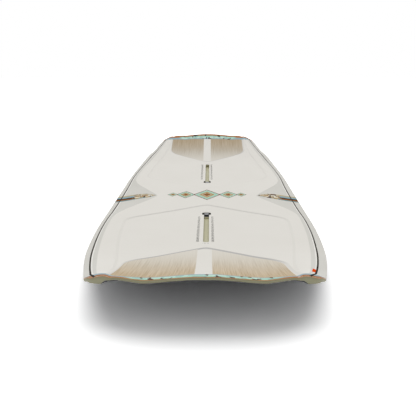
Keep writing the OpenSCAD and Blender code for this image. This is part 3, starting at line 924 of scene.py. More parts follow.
@dataclass(frozen=True)
class TrackFinish(Finish):
    """Moulded track, black round its entry at the inner end: partly a black moulded collar, partly painted shade on the
    entry's walls.
    """

    entry_end: float = 175.0
    wall_shade_reach: float = 10.0
    blur: float = 0.2
    black: Colour = (26, 26, 28)

    def paint(self, graph: Graph) -> Socket:
        """Moulded colour beyond the entry, black round it; faces that do not point up stay black further along the
        slot, as painted shade.
        """
        place = graph.node("ShaderNodeSeparateXYZ", Vector=graph.where()).outputs["Y"]
        normal = graph.node("ShaderNodeNewGeometry").outputs["Normal"]
        upward = graph.node("ShaderNodeSeparateXYZ", Vector=normal).outputs["Z"]
        # Painted shade: faces that do not point up stay black further from the entry than the upward floor does.
        level = graph.between(upward, 0.5, 0.8, 0.0, self.wall_shade_reach * MM)
        reach = graph.math("ADD", graph.math("ABSOLUTE", place), level)
        entry = graph.between(reach, (self.entry_end + self.blur) * MM, (self.entry_end - self.blur) * MM)
        return self.mottled(graph, graph.blend(entry, linear(self.colour), linear(self.black)))


@dataclass(frozen=True)
class CarrierFinish(Finish):
    """Black moulded nut with a paler sliding foot, its colour lightened near white as painted light against the shade
    between the track's lips.
    """

    # Painted light: the foot's paler colour is lightened near white to offset the shade it sits in.
    foot: Colour = (236, 232, 204)
    level: float = -4.6
    blur: float = 0.1

    def paint(self, graph: Graph) -> Socket:
        """Black above the foot's level, which the mesh stores as its height."""
        low = graph.between(graph.along("height"), self.level + self.blur, self.level - self.blur)
        return self.mottled(graph, graph.blend(low, linear(self.colour), linear(self.foot)))


@dataclass(frozen=True)
class BrushedMetal(Finish):
    """Metal with fine turning marks."""

    marks: float = 2200.0

    def surface(self, graph: Graph) -> Socket:
        """Fine marks round the pieces."""
        return graph.bump(graph.noise(self.marks, 2.0, (1.0, 1.0, 4.0)), self.relief)


class Finishes:
    """The board's finishes by name."""

    deck = DeckFinish("deck_sheet", (222, 219, 212), 0.5, specular=0.12, mottle=0.022, grain=800, relief=0.006)
    wood = {
        # Painted light and shade: the nose's wood is a lighter copy and the tail's a darker copy, standing for how the
        # lamp lights each tip.
        End.NOSE: WoodPrint("nose_wood", (205, 196, 180), 0.5, specular=0.0, tone=1.01),
        End.TAIL: WoodPrint("tail_wood", (205, 196, 180), 0.5, specular=0.0, tone=0.94),
    }
    tip = {
        end: BandPrint(
            f"{end.label}_tip",
            (170, 226, 204),
            0.45,
            specular=0.0,
            mottle=0.05,
            grain=240,
            stops=((0.0, (178, 122, 78)), (corner, (156, 180, 188))),
            middle=((0.0, (176, 124, 84)), (edge, (166, 212, 194)), (0.5, (200, 224, 212)), (0.84, (156, 180, 188))),
            other=((0.0, (176, 124, 84)), (edge, (150, 186, 174)), (0.4, (172, 208, 194)), (0.8, (156, 180, 188))),
            breaks=0.6,
        )
        for end, corner, edge in ((End.NOSE, 0.42, 0.15), (End.TAIL, 0.52, 0.3))
    }
    waist = BandPrint(
        "waist_print",
        (160, 180, 185),
        0.45,
        specular=0.0,
        mottle=0.05,
        grain=240,
        stops=(
            (0.0, (120, 150, 152)),
            (0.15, (152, 98, 54)),
            (0.34, (66, 60, 58)),
            (0.54, (150, 172, 178)),
            (0.84, (190, 172, 130)),
        ),
        middle=((0.0, (176, 156, 116)), (0.3, (226, 220, 200)), (0.52, (160, 120, 76)), (0.72, (196, 186, 160))),
        other=((0.0, (150, 172, 170)), (0.26, (176, 146, 100)), (0.5, (230, 226, 210)), (0.74, (120, 94, 72))),
        breaks=0.56,
        specks=150.0,
    )
    ink = Finish("dark_ink", (70, 65, 61), 0.4, specular=0.0, mottle=0.1)
    scale_ink = Finish("scale_ink", (60, 58, 56), 0.5, specular=0.0, mottle=0.1)
    mint_ink = Finish("mint_ink", (160, 208, 188), 0.42, specular=0.0, mottle=0.05)
    tan_ink = Finish("tan_ink", (178, 152, 104), 0.42, specular=0.0, mottle=0.08)
    rust_ink = Finish("rust_ink", (150, 104, 64), 0.42, specular=0.0, mottle=0.08)
    brown_ink = Finish("brown_ink", (110, 78, 52), 0.42, specular=0.0, mottle=0.1)
    orange_ink = Finish("orange_ink", (226, 78, 18), 0.4, specular=0.0, mottle=0.05)
    rail = Finish("cast_rail", (154, 151, 120), 0.5, mottle=0.04, grain=900, relief=0.02)
    track = TrackFinish("track_nylon", (194, 190, 156), 0.5, mottle=0.04, grain=700, relief=0.02)
    nylon = Finish("black_nylon", (24, 24, 26), 0.42, mottle=0.12, grain=900, relief=0.03)
    carrier = CarrierFinish("nut_nylon", (24, 24, 26), 0.42, mottle=0.08, grain=900, relief=0.03)
    steel = BrushedMetal("turned_steel", (214, 215, 218), 0.34, metallic=1.0, mottle=0.05, relief=0.004)
    brass = BrushedMetal("brass", (190, 152, 80), 0.34, metallic=1.0, mottle=0.06, relief=0.004)
    base = FibreBase("base_sheet", (44, 46, 50), 0.28, coat=0.4, relief=0.004)
    foam = Finish("core_foam", (232, 222, 190), 0.8, mottle=0.1, grain=700, relief=0.2)
    dense = Finish("dense_foam", (184, 178, 140), 0.75, mottle=0.08, grain=1100, relief=0.1)
    timber = TimberFinish("ash_timber", (204, 172, 124), 0.6)


# Pieces


def rounded_node(node: str, width: float, sharp: float = 35.0) -> bpy.types.Object:
    """Copy of a CAD node with rounded edges.

    Args:
        node: name of the node.
        width: width of the rounding in millimetres.
        sharp: edges that turn by more degrees than this are rounded.

    Returns:
        The copy, named after the node.
    """
    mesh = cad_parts[node].data.copy()
    with opened(mesh, CAD_WELD) as work:
        bmesh.ops.dissolve_limit(work, angle_limit=math.radians(0.5), verts=work.verts, edges=work.edges)
    piece = add_object(f"{node}_rounded", mesh)
    step = piece.modifiers.new("edges", "BEVEL")
    step.width, step.segments, step.limit_method = width * MM, 3, "ANGLE"
    step.angle_limit, step.use_clamp_overlap = math.radians(sharp), True
    settle(piece)
    shade(piece.data, 40)
    return piece


def dress_node(node: str, finish: Finish) -> None:
    """Gives a CAD node that stays in view its finish."""
    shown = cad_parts[node]
    shown.data.materials.clear()
    shown.data.materials.append(finish.material())
    log.info("%s: CAD node, %s", node, finish.name)


@dataclass
class Tree:
    """A geometry node tree while it is built."""

    name: str
    made: bpy.types.GeometryNodeTree = field(init=False)
    sockets: dict[str, str] = field(default_factory=dict)

    def __post_init__(self) -> None:
        """Starts the tree with its geometry sockets."""
        self.made = bpy.data.node_groups.new(self.name, "GeometryNodeTree")
        for way in ("INPUT", "OUTPUT"):
            self.made.interface.new_socket(name="Geometry", in_out=way, socket_type="NodeSocketGeometry")
        self.given = self.made.nodes.new("NodeGroupInput")
        self.result = self.made.nodes.new("NodeGroupOutput")

    def input(self, name: str, value: float, kind: str = "Float") -> Socket:
        """Adds a named input with a default value."""
        socket = self.made.interface.new_socket(name=name, in_out="INPUT", socket_type=f"NodeSocket{kind}")
        socket.default_value = value
        self.sockets[name] = socket.identifier
        return self.given.outputs[name]

    def node(self, kind: str, *inputs: object, **named: object) -> bpy.types.Node:
        """Adds a node with its inputs in order, and its properties by name."""
        made = self.made.nodes.new(kind)
        for name, value in named.items():
            setattr(made, name, value)
        shown = [s for s in made.inputs if s.enabled]
        for socket, value in zip(shown, inputs, strict=False):
            if isinstance(value, bpy.types.NodeSocket):
                self.made.links.new(value, socket)
            elif value is not None:
                socket.default_value = value
        return made

    def both(self, geometry: Socket, apart: Socket, share: float, axis: int) -> Socket:
        """Geometry that is moved both ways along an axis by a share of a distance."""
        made = self.node("GeometryNodeJoinGeometry")
        for sign in (1.0, -1.0):
            off = self.node("ShaderNodeMath", apart, sign * share, operation="MULTIPLY")
            shift = self.node("ShaderNodeCombineXYZ")
            self.made.links.new(off.outputs[0], shift.inputs[axis])
            moved = self.node("GeometryNodeTransform")
            self.made.links.new(geometry, moved.inputs["Geometry"])
            self.made.links.new(shift.outputs[0], moved.inputs["Translation"])
            self.made.links.new(moved.outputs[0], made.inputs[0])
        return made.outputs[0]

    def row(self, what: Socket, count: object, start: Socket, pitch: Socket) -> Socket:
        """Row of copies of a geometry along Y."""
        first, step = (self.node("ShaderNodeCombineXYZ", 0.0, y, 0.0).outputs[0] for y in (start, pitch))
        line = self.node("GeometryNodeMeshLine", count, first, step, mode="OFFSET")
        spread = self.node("GeometryNodeInstanceOnPoints", line.outputs[0])
        self.made.links.new(what, spread.inputs["Instance"])
        return spread.outputs[0]

    def end(self, geometry: Socket, material: bpy.types.Material) -> None:
        """Ends the tree with its instances made real and dressed."""
        real = self.node("GeometryNodeRealizeInstances", geometry)
        dressed = self.node("GeometryNodeSetMaterial", real.outputs[0], None, material)
        self.made.links.new(dressed.outputs[0], self.result.inputs[0])

    def run(self, name: str, mesh: bpy.types.Mesh, **values: float) -> bpy.types.Object:
        """Makes a piece from the tree.

        Args:
            name: name of the piece.
            mesh: geometry that goes in.
            values: the tree's inputs, by name with _ for a blank.

        Returns:
            The piece as a plain mesh.
        """
        piece = add_object(name, mesh)
        step = piece.modifiers.new("tree", "NODES")
        step.node_group = self.made
        for key, value in values.items():
            step[self.sockets[key.replace("_", " ")]] = value
        return settle(piece)


@dataclass
class Assembly:
    """A group of pieces of the board."""

    form: BoardForm
    pieces: list[bpy.types.Object] = field(default_factory=list)

    def dress(
        self,
        piece: bpy.types.Object | bpy.types.Mesh,
        finishes: Finish | Sequence[Finish],
        body: Body = Body.BOARD,
        slot: str = "deck",
        replaces: Sequence[str] = (),
    ) -> None:
        """Gives a piece its finish and its place in the frame.

        Args:
            piece: the piece, in place, or a mesh to make it from.
            finishes: its finish, or one for each of its material numbers.
            body: the CAD body that it rides on.
            slot: the record's material slot; not used.
            replaces: CAD nodes that it stands for.
        """
        if isinstance(piece, bpy.types.Mesh):
            piece = add_object(piece.name, piece)
        numbers = np.zeros(len(piece.data.polygons), np.int32)
        piece.data.polygons.foreach_get("material_index", numbers)
        piece.data.materials.clear()
        worn = [finishes] if isinstance(finishes, Finish) else finishes
        for finish in worn:
            piece.data.materials.append(finish.material())
        piece.data.polygons.foreach_set("material_index", np.minimum(numbers, len(worn) - 1))
        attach(piece, body.value)
        if replaces:
            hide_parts(*replaces)
        self.pieces.append(piece)

    def report(self) -> None:
        """Logs each piece of the group."""
        for piece in self.pieces:
            log.info("%s: %d faces", piece.name, len(piece.data.polygons))


# Shell


@dataclass
class Shell(Assembly):
    """Deck sheet, base sheet and sidewall."""

    rim_r: float = 1.0
    base_rim_r: float = 0.9
    keyhole_depth: float = 8.0
    slot_half: float = 5.2
    slot_reach: float = 221.0
    entry_half_w: float = 9.5
    entry_half_l: float = 11.0
    entry_r: float = 6.0
    insert_r: float = 5.1
    insert_cut: float = 9.0
    crown: float = 0.25
    bond_w: float = 0.5
    bevel_narrowing: float = 2.5
    narrowing_start: float = 520.0
    drift_start: float = 120.0
    bevel_fade: float = 120.0
    rim_slack: float = 0.1
    deck_wall: float = 0.4
    base_wall: float = 0.3
    base_rim_w: float = 1.0

    def sheet(
        self,
        name: str,
        plan: Callable[[float], tuple[Array, Array]],
        height: Callable[[Array, Array], Array],
        thickness: float,
        radius: float,
    ) -> bpy.types.Mesh:
        """Closed sheet with a rounded outer edge.

        Args:
            name: name of the mesh.
            plan: X and Y of its grid at an inset from the outline.
            height: height of its outer face.
            thickness: thickness, positive where the sheet lies above its outer face.
            radius: radius of the outer edge.

        Returns:
            The mesh.
        """
        turn = math.copysign(1.0, thickness)
        x, y = plan(radius)
        z = height(np.abs(x), np.abs(y))
        drops = [(radius * (1 - math.sin(t)), radius * (1 - math.cos(t))) for t in np.linspace(0, math.pi / 2, 6)[1:]]
        rims = []
        for inset, drop in [*drops, (0.0, abs(thickness))]:
            rx, ry = (rim_of(v) for v in plan(inset))
            rims.append(xyz(rx, ry, height(np.abs(rx), np.abs(ry)) + turn * drop))
        return closed_grid(name, xyz(x, y, z), xyz(x, y, z + thickness), rims)

    def keyhole(self) -> list[tuple[float, float]]:
        """Outline of a track's entry and slot, along the track."""
        w, length, r, s = self.entry_half_w, self.entry_half_l, self.entry_r, self.slot_half
        meet = math.degrees(math.acos((s - w + r) / r))
        arcs = [
            (0.0, self.slot_reach - s, s, 0, 180, 25),
            (r - w, length - r, r, 180 - meet, 180, 10),
            (r - w, r - length, r, 180, 270, 10),
            (w - r, r - length, r, 270, 360, 10),
            (w - r, length - r, r, 0, meet, 10),
        ]
        points = []
        for x, y, radius, first, last, count in arcs:
            turns = np.radians(np.linspace(first, last, count))
            points += [(x + radius * math.cos(t), y + radius * math.sin(t)) for t in turns]
        return points

    def deck(self) -> None:
        """Deck sheet with its two keyholes and the values that its print follows."""
        f = self.form
        mesh = self.sheet("deck_sheet", GridPlan(f).deck, f.deck, -f.deck_skin_t, self.rim_r)
        piece = add_object("deck_sheet", mesh)
        hole = prism("keyhole", self.keyhole(), -self.keyhole_depth, self.keyhole_depth)
        cut(piece, joined("keyholes", [(hole, Stance.frame(f, end)) for end in End]))
        mesh = shade(piece.data)
        spots = places(mesh)
        x, y, z = np.abs(spots).T
        drift = Print.drift(spots[:, 0], spots[:, 1])
        drift = drift - self.bevel_narrowing * smooth((y - self.narrowing_start) / self.bevel_fade)
        set_values(mesh, "bevel", x - f.bevel_line(y) + drift * smooth((y - self.drift_start) / self.bevel_fade))
        # Painted shade on the steps, stored for the deck's paint.
        set_values(mesh, "step", f.painted_step_shade(x, y))
        set_values(mesh, "tip", f.half_length - y)
        inset = np.minimum(f.half(y) - x, f.tip_edge(np.minimum(x, f.tip_half)) - y)
        rim, wall = inset < self.rim_r + self.rim_slack, f.deck(x, y) - z > self.deck_wall
        set_values(mesh, "rim", rim * 1.0 + wall * 1.0)
        set_values(mesh, "pin", Print.pin_line(f, spots[:, 0], spots[:, 1]) - x)
        self.dress(piece, Finishes.deck, slot="deck", replaces=["deck_skin"])

    def base(self) -> None:
        """Base sheet with its runners, and holes for the fins' inserts."""
        f = self.form
        mesh = self.sheet("base_sheet", GridPlan(f).base, f.base, f.base_skin_t, self.base_rim_r)
        piece = add_object("base_sheet", mesh)
        r, deep = self.insert_r, self.insert_cut
        hole = lathe("insert_hole", [(0, -deep), (r, -deep), (r, deep), (0, deep)], 32)
        frames = [Fins.frame(f, end, side) for end, side in product(End, Side)]
        pitch = Fins.screw_pitch / 2 * MM
        spots = [(hole, place @ Matrix.Translation((0, s * pitch, 0))) for place in frames for s in (-1, 1)]
        cut(piece, joined("insert_holes", spots))
        mesh = shade(piece.data)
        x, y, z = np.abs(places(mesh)).T
        wall, rim = z - f.base(x, y) > self.base_wall, f.half(y) - x < self.base_rim_w
        set_values(mesh, "rim", (wall & rim) * 1.0)
        self.dress(piece, Finishes.base, slot="base", replaces=["nose_base_skin", "middle_base_skin", "tail_base_skin"])

    def sidewall(self) -> None:
        """Cast band between the sheets, with a shallow crown on its outer wall."""
        f = self.form
        plan = GridPlan(f).deck
        insets = np.linspace(0, f.rail_w - self.bond_w, 9)
        rims = [tuple(rim_of(v) for v in plan(inset)) for inset in insets]
        tops = [f.deck(np.abs(x), np.abs(y)) - f.deck_skin_t for x, y in rims]
        lows = [f.base(np.abs(x), np.abs(y)) + f.base_skin_t for x, y in rims]
        (ox, oy), (ix, iy) = rims[0], rims[-1]
        reach = np.hypot(ix - ox, iy - oy)
        nx, ny = (ix - ox) / reach, (iy - oy) / reach
        rings = []
        for s in np.linspace(0, 1, 7):
            back = self.crown * (2 * s - 1) ** 2
            rings.append(xyz(ox + nx * back, oy + ny * back, mix(tops[0], lows[0], s)))
        rings += [xyz(x, y, z) for (x, y), z in zip(rims[1:], lows[1:], strict=True)]
        rings += [xyz(x, y, z) for (x, y), z in zip(rims[:0:-1], tops[:0:-1], strict=True)]
        mesh = tube("sidewall_band", rings, 40)
        self.dress(mesh, Finishes.rail, slot="sidewall", replaces=["sidewall"])

    def build(self) -> None:
        """Builds the shell."""
        self.deck()
        self.base()
        self.sidewall()


# Print


@dataclass
class Print(Assembly):
    """Thin print on the deck: wood panels, tip bands, pinstripes, waist stripes and the middle's motif."""

    lift: float = 0.06
    film_t: float = 0.12
    strip_half: float = 11.8
    wood_margin: float = 1.3
    wood_slack: float = 0.02
    print_shift: float = -1.6
    edge_inset: float = 1.3
    band_start: float = 640.0
    band_w: float = 37.0
    nose_corner_w: float = 6.0
    tail_corner_w: float = 24.0
    pin_inset: float = 11.4
    pin_w: float = 2.5
    pin_drift: tuple[tuple[float, float], ...] = ((0.0, 3.4), (-1.7, 2.4), (2.4, 4.4))
    pin_turn: float = 4.5
    pin_start: float = 638.0
    pin_end: float = 661.0
    pin_gap: float = 0.5
    pin_dense: float = 600.0
    pin_last: float = 670.0
    pin_power: float = 1.6
    drift_start: float = 150.0
    drift_fade: float = 400.0
    band_fade: float = 14.0
    band_least: float = 0.25
    band_wave: float = 0.1
    band_wave_l: float = 21.0
    corner_start: float = 70.0
    corner_fade: float = 60.0
    waist_x: float = 122.0
    waist_l: float = 92.0
    waist_half: float = 27.0
    waist_point: float = 0.8
    waist_inset: float = 1.4
    waist_y: tuple[float, float] = (-12.0, 6.0)
    waist_bend: float = 0.75
    waist_ends: float = 0.2
    motif_y: float = 12.0
    lozenges: tuple[tuple[float, float, float], ...] = (
        (0, 33, 54),
        (-51, 23, 37),
        (51, 23, 37),
        (-82, 13, 20),
        (82, 13, 20),
    )
    rings: tuple[tuple[float, float], ...] = ((1.0, 0.9), (0.84, 0.62), (0.58, 0.36), (0.31, 1e-3))
    tab_a: tuple[float, float] = (598.0, 629.0)
    tab_inset: tuple[float, float] = (19.6, 13.4)
    waist_lift: float = 0.03
    tab_lift: float = 0.04
    tip_lift: float = 0.05
    pin_lift: float = 0.07

    def film(self, name: str, x: Array, y: Array, extra: float = 0.0) -> bpy.types.Mesh:
        """Closed film that lies on the deck.

        Args:
            name: name of the mesh.
            x: X of its grid in millimetres.
            y: Y of its grid.
            extra: height above the other films.

        Returns:
            The mesh, which stores how far across its grid each point lies.
        """
        rows, cols = x.shape
        z = self.form.deck(np.abs(x), np.abs(y)) + self.lift + extra
        mesh = closed_grid(name, xyz(x, y, z), xyz(x, y, z - (self.film_t + extra)))
        set_values(mesh, "across", np.tile(np.linspace(0, 1, cols), 2 * rows))
        return mesh

    def panel_start(self, h: Array) -> Array:
        """Distance along the board where the wood starts, by bisection."""
        f = self.form
        low, high = np.full_like(h, f.tip_apex), np.full_like(h, f.half_length)
        for _ in range(40):
            mid = (low + high) / 2
            inside = f.tip_reach(h, mid)[0] > self.wood_margin
            low, high = np.where(inside, low, mid), np.where(inside, mid, high)
        return high

    def wood(self) -> None:
        """Two wood panels on each tip, one on each side of the plain centre strip."""
        f = self.form
        edge = f.tip_panel_half - self.wood_margin - self.wood_slack
        h = mix(self.strip_half, edge, np.sin(np.linspace(0, math.pi / 2, 52)))
        start = self.panel_start(h)
        a = start + np.linspace(0, 1, 56)[:, None] * (f.tip_edge(h, self.edge_inset) - start)
        for end in End:
            parts = []
            for side in Side:
                x = np.broadcast_to(h, a.shape) * side.value + self.print_shift
                mesh = self.film("wood", x, a * end.value)
                parts.append((mesh, Matrix.Identity(4)))
            mesh = shade(joined(f"{end.label}_wood_print", parts))
            y = np.abs(places(mesh)[:, 1])
            set_values(mesh, "fade", (y - f.tip_apex) / (f.half_length - f.tip_apex))
            self.dress(mesh, Finishes.wood[end])

    def tip_bands(self) -> None:
        """Bands of colour along the edge of each tip, from corner to corner."""
        f = self.form
        h, a = f.tip_outline(self.band_start, self.edge_inset)
        line = np.stack([np.concatenate([h, -h[-2::-1]]), np.concatenate([a, a[-2::-1]])])
        step = np.gradient(line, axis=1)
        step /= np.hypot(*step)
        across = np.abs(line[0])
        taper = mix(self.band_least, 1.0, smooth((line[1] - self.band_start) / self.band_fade))
        taper = (1 + self.band_wave * np.cos(across / self.band_wave_l)) * taper
        corner = smooth((across - self.corner_start) / self.corner_fade)
        share = np.linspace(0, 1, 14)
        for end, corner_w in ((End.NOSE, self.nose_corner_w), (End.TAIL, self.tail_corner_w)):
            wide = mix(self.band_w, corner_w, corner) * taper
            x = line[0][:, None] - (step[1] * wide)[:, None] * share
            y = line[1][:, None] + (step[0] * wide)[:, None] * share
            mesh = self.film(f"{end.label}_tip_print", x, y * end.value, self.tip_lift)
            set_values(mesh, "ends", np.abs(places(mesh)[:, 0]) / f.tip_half)
            self.dress(mesh, Finishes.tip[end])

    @staticmethod
    def drift(x: Array, y: Array) -> Array:
        """Distance by which the print along a rail lies further in than its nominal line."""
        waist, nose, tail = (np.where(x < 0, *pair) for pair in Print.pin_drift)
        return mix(waist, np.where(y < 0, nose, tail), smooth((np.abs(y) - Print.drift_start) / Print.drift_fade))

    @staticmethod
    def pin_line(form: BoardForm, x: Array, y: Array) -> Array:
        """Distance from the centreline to a pinstripe, which follows the rail and turns in at the tips.

        Args:
            form: form of the board.
            x: below zero for the left pinstripe, above it for the right one.
            y: distance from the middle, below zero towards the nose.

        Returns:
            The distance.
        """
        a = np.abs(y)
        turn = np.clip((a - Print.pin_start) / (Print.pin_end - Print.pin_start), 0, None)
        return form.side(a) - Print.pin_inset - Print.drift(x, y) - Print.pin_turn * turn**Print.pin_power

    def pinstripes(self) -> None:
        """Dark line inside each rail."""
        sparse = np.linspace(0, self.pin_dense, 90, endpoint=False)
        a = np.concatenate([sparse, np.linspace(self.pin_dense, self.pin_last, 90)])
        y = np.concatenate([-a[:0:-1], a])
        for side in Side:
            h = self.pin_line(self.form, np.full_like(y, side.value), y)
            wide = self.pin_w / 2 * np.sqrt(1 + np.gradient(h, y) ** 2)
            kept = self.form.tip_edge(h + wide) - np.abs(y) > self.pin_gap
            rows = np.stack([h - wide, h, h + wide], axis=1)[kept] * side.value
            mesh = self.film(f"{side.label}_pinstripe", rows, y[kept, None] * np.ones(3), self.pin_lift)
            self.dress(mesh, Finishes.ink)

    def waist_stripes(self) -> None:
        """Tapered stripes from each rail towards the middle of the waist."""
        t = np.linspace(0, 1, 60)[:, None]
        share = np.linspace(-1, 1, 20)[None, :]
        half = self.waist_half * (1 - t**4) + self.waist_point
        y = mix(*self.waist_y, smooth(t / self.waist_bend)) + share * half
        x = np.broadcast_to(mix(self.form.half_width - self.waist_inset, self.waist_x, t), y.shape)
        for side in Side:
            mesh = self.film(f"{side.label}_waist_stripes", x * side.value, y, self.waist_lift)
            reach = (np.abs(places(mesh)[:, 0]) - self.waist_x) / self.waist_l
            set_values(mesh, "ends", mix(self.waist_ends, 1.0, reach))
            self.dress(mesh, Finishes.waist)

    def motif(self) -> None:
        """Row of nested lozenges across the middle of the deck."""
        z = self.form.centre_t
        points, faces, inks = [], [], []
        for cx, w, t in self.lozenges:
            corners = [(w, 0), (0, t), (-w, 0), (0, -t)]
            for ink, (outer, inner) in enumerate(self.rings):
                loops = []
                for share, level in ((outer, 1), (inner, 1), (inner, -1), (outer, -1)):
                    loops.append(range(len(points), len(points) + 4))
                    points += [(cx + share * x, self.motif_y + share * y, z + level * self.lift) for x, y in corners]
                made = ring_faces([*loops, loops[0]])
                faces += made
                inks += [ink] * len(made)
        mesh = make_mesh("centre_motif", np.array(points), faces)
        mesh.polygons.foreach_set("material_index", inks)
        inks_used = [Finishes.brown_ink, Finishes.mint_ink, Finishes.tan_ink, Finishes.rust_ink]
        self.dress(mesh, inks_used)

    def tab(self) -> None:
        """Plain orange tab beside the pinstripe at the nose."""
        a = np.linspace(*self.tab_a, 12)[:, None]
        x = self.form.side(a) - np.linspace(*self.tab_inset, 8)[None, :]
        self.dress(self.film("corner_tab", x, -a * np.ones(8), self.tab_lift), Finishes.orange_ink)

    def build(self) -> None:
        """Builds the print."""
        self.wood()
        self.tip_bands()
        self.pinstripes()
        self.waist_stripes()
        self.motif()
        self.tab()


# Tracks and nuts


@dataclass
class Stance(Assembly):
    """Binding tracks, their nuts and the scales beside them."""

    entry_a: float = 163.0
    boss_top: float = -0.6
    nut_bottom: float = -8.2
    bush_r: float = 4.3
    bush_rise: float = 0.1
    thread_r: float = 2.5
    thread_depth: float = 0.4
    thread_pitch: float = 1.0
    thread_rings: int = 61
    thread_lead: int = 8
    bush_turns: int = 60
    mouth_chamfer: float = 0.4
    scale_x: float = 13.4
    scale_shift: float = -1.6
    scale_start: float = 26.0
    scale_end: float = 217.0
    closing_y: float = 228.0
    ink_t: float = 0.06
    scale_pitch: float = 10.0
    numeral_h: float = 6.8
    tick_l: float = 4.0
    tick_w: float = 0.95
    tick_pair: float = 1.9
    closing_half: float = 10.5
    dash_l: float = 3.2
    dash_w: float = 1.0
    bush_edge: float = 0.2
    mouth_gap: float = 0.1
    carrier_edge: float = 0.4

    @staticmethod
    def frame(form: BoardForm, end: End) -> Matrix:
        """Frame of a track: its origin in the middle of the entry, on the deck, with Y along the slot."""
        height = float(form.deck_line(np.array(Stance.entry_a))) - form.panel_step
        place = Matrix.Translation(Vector((0, Stance.entry_a, height)) * MM)
        tail = place @ Matrix.Rotation(math.atan(form.stance_slope), 4, "X")
        return tail if end is End.TAIL else Matrix.Rotation(math.pi, 4, "Z") @ tail

    def ticks_tree(self) -> Tree:
        """Tree for the two rows of paired scale ticks beside a slot."""
        tree = Tree("scale_ticks")
        count = tree.input("Count", 20, "Int")
        pitch, start, apart = tree.input("Pitch", 0.01), tree.input("Start", 0.03), tree.input("Apart", 0.0136)
        length, width, thick = tree.input("Length", 0.004), tree.input("Width", 0.001), tree.input("Thickness", 6e-5)
        pair = tree.input("Pair", 0.002)
        size = tree.node("ShaderNodeCombineXYZ", length, width, thick)
        tick = tree.node("GeometryNodeMeshCube", size.outputs[0])
        marks = tree.both(tick.outputs[0], pair, 0.5, 1)
        tree.end(tree.both(tree.row(marks, count, start, pitch), apart, 1.0, 0), Finishes.scale_ink.material())
        return tree

    def numeral(self, text: str, height: float) -> bpy.types.Mesh:
        """A plain number as a thin mesh, centred on its place, in metres."""
        curve = bpy.data.curves.new("numeral", "FONT")
        curve.body, curve.size, curve.align_x, curve.align_y = text, height * MM, "CENTER", "CENTER"
        curve.extrude, curve.resolution_u = self.ink_t / 2 * MM, 3
        holder = add_object("numeral", curve)
        mesh = plain(holder)
        bpy.data.objects.remove(holder)
        mesh.materials.clear()
        return mesh

    def scales(self) -> None:
        """Ticks and plain numbers along both sides of each slot, closed by a row of dashes."""
        tree, pitch = self.ticks_tree(), self.scale_pitch
        count = int((self.scale_end - self.scale_start) / pitch) + 1
        numbers = []
        for i in range(count):
            mesh = self.numeral(str(i + 1), self.numeral_h)
            for sign in (-1, 1):
                spot = Vector((sign * self.scale_x, self.scale_start + i * pitch, 0)) * MM
                numbers.append((mesh, Matrix.Translation(spot) @ Matrix.Rotation(math.pi / 2, 4, "Z")))
        for x in np.linspace(-self.closing_half, self.closing_half, 5):
            low, high, half = x - self.dash_l / 2, x + self.dash_l / 2, self.dash_w / 2
            bar = [(low, -half), (high, -half), (high, half), (low, half)]
            dash = prism("dash", bar, -self.ink_t / 2, self.ink_t / 2)
            numbers.append((dash, Matrix.Translation((0, self.closing_y * MM, 0))))
        for end in End:
            place = Matrix.Translation((self.scale_shift * MM, 0, 0)) @ Stance.frame(self.form, end)
            piece = tree.run(
                f"{end.label}_scale_ticks",
                bpy.data.meshes.new("ticks"),
                Count=count - 1,
                Pitch=pitch * MM,
                Start=(self.scale_start + pitch / 2) * MM,
                Apart=self.scale_x * MM,
                Length=self.tick_l * MM,
                Width=self.tick_w * MM,
                Thickness=self.ink_t * MM,
                Pair=self.tick_pair * MM,
            )
            piece.data.transform(place)
            self.dress(piece, Finishes.scale_ink)
            mesh = joined(f"{end.label}_scale_numbers", [(m, place @ spot) for m, spot in numbers])
            self.dress(mesh, Finishes.scale_ink)

    def bush(self) -> bpy.types.Mesh:
        """Steel bush with a cut thread, in the frame of its track."""
        turns, lead = self.bush_turns, self.thread_lead
        angles = np.linspace(0, 2 * math.pi, turns, endpoint=False)
        low, high, r, edge = self.nut_bottom, self.boss_top + self.bush_rise, self.bush_r, self.bush_edge
        levels = np.linspace(low, high, self.thread_rings)[::-1]
        rings = [(np.full(turns, r - edge), low), (np.full(turns, r), low + edge)]
        rings += [(np.full(turns, r), high - edge), (np.full(turns, r - edge), high)]
        mouth, sink = self.thread_r + self.thread_depth + self.mouth_gap, self.mouth_chamfer
        rings += [(np.full(turns, mouth + sink), high), (np.full(turns, mouth), high - sink)]
        for z in levels[lead:-lead]:
            phase = (z / self.thread_pitch - angles / (2 * math.pi)) % 1.0
            rings.append((self.thread_r + self.thread_depth * np.abs(2 * phase - 1), z))
        rings += [(np.full(turns, mouth), low + sink), (np.full(turns, mouth + sink), low)]
        return tube("bush", [xyz(q * np.cos(angles), q * np.sin(angles), np.full(turns, z)) for q, z in rings], 50)

    def build(self) -> None:
        """Builds the moving nuts and the scales, and dresses the tracks."""
        bush = self.bush()
        for end, body in ((End.NOSE, Body.NOSE_NUT), (End.TAIL, Body.TAIL_NUT)):
            carrier = rounded_node(f"{end.label}_nut_carrier", self.carrier_edge)
            flat = carrier.data.copy()
            flat.transform(Stance.frame(self.form, end).inverted())
            set_values(carrier.data, "height", places(flat)[:, 2])
            self.dress(carrier, Finishes.carrier, body, "black_nylon", [f"{end.label}_nut_carrier"])
            mesh = bush.copy()
            mesh.transform(Stance.frame(self.form, end))
            mesh.name = f"{end.label}_bush"
            self.dress(mesh, Finishes.steel, body, "steel", [f"{end.label}_nut_bush"])
            dress_node(f"{end.label}_track", Finishes.track)
        self.scales()


# Fins


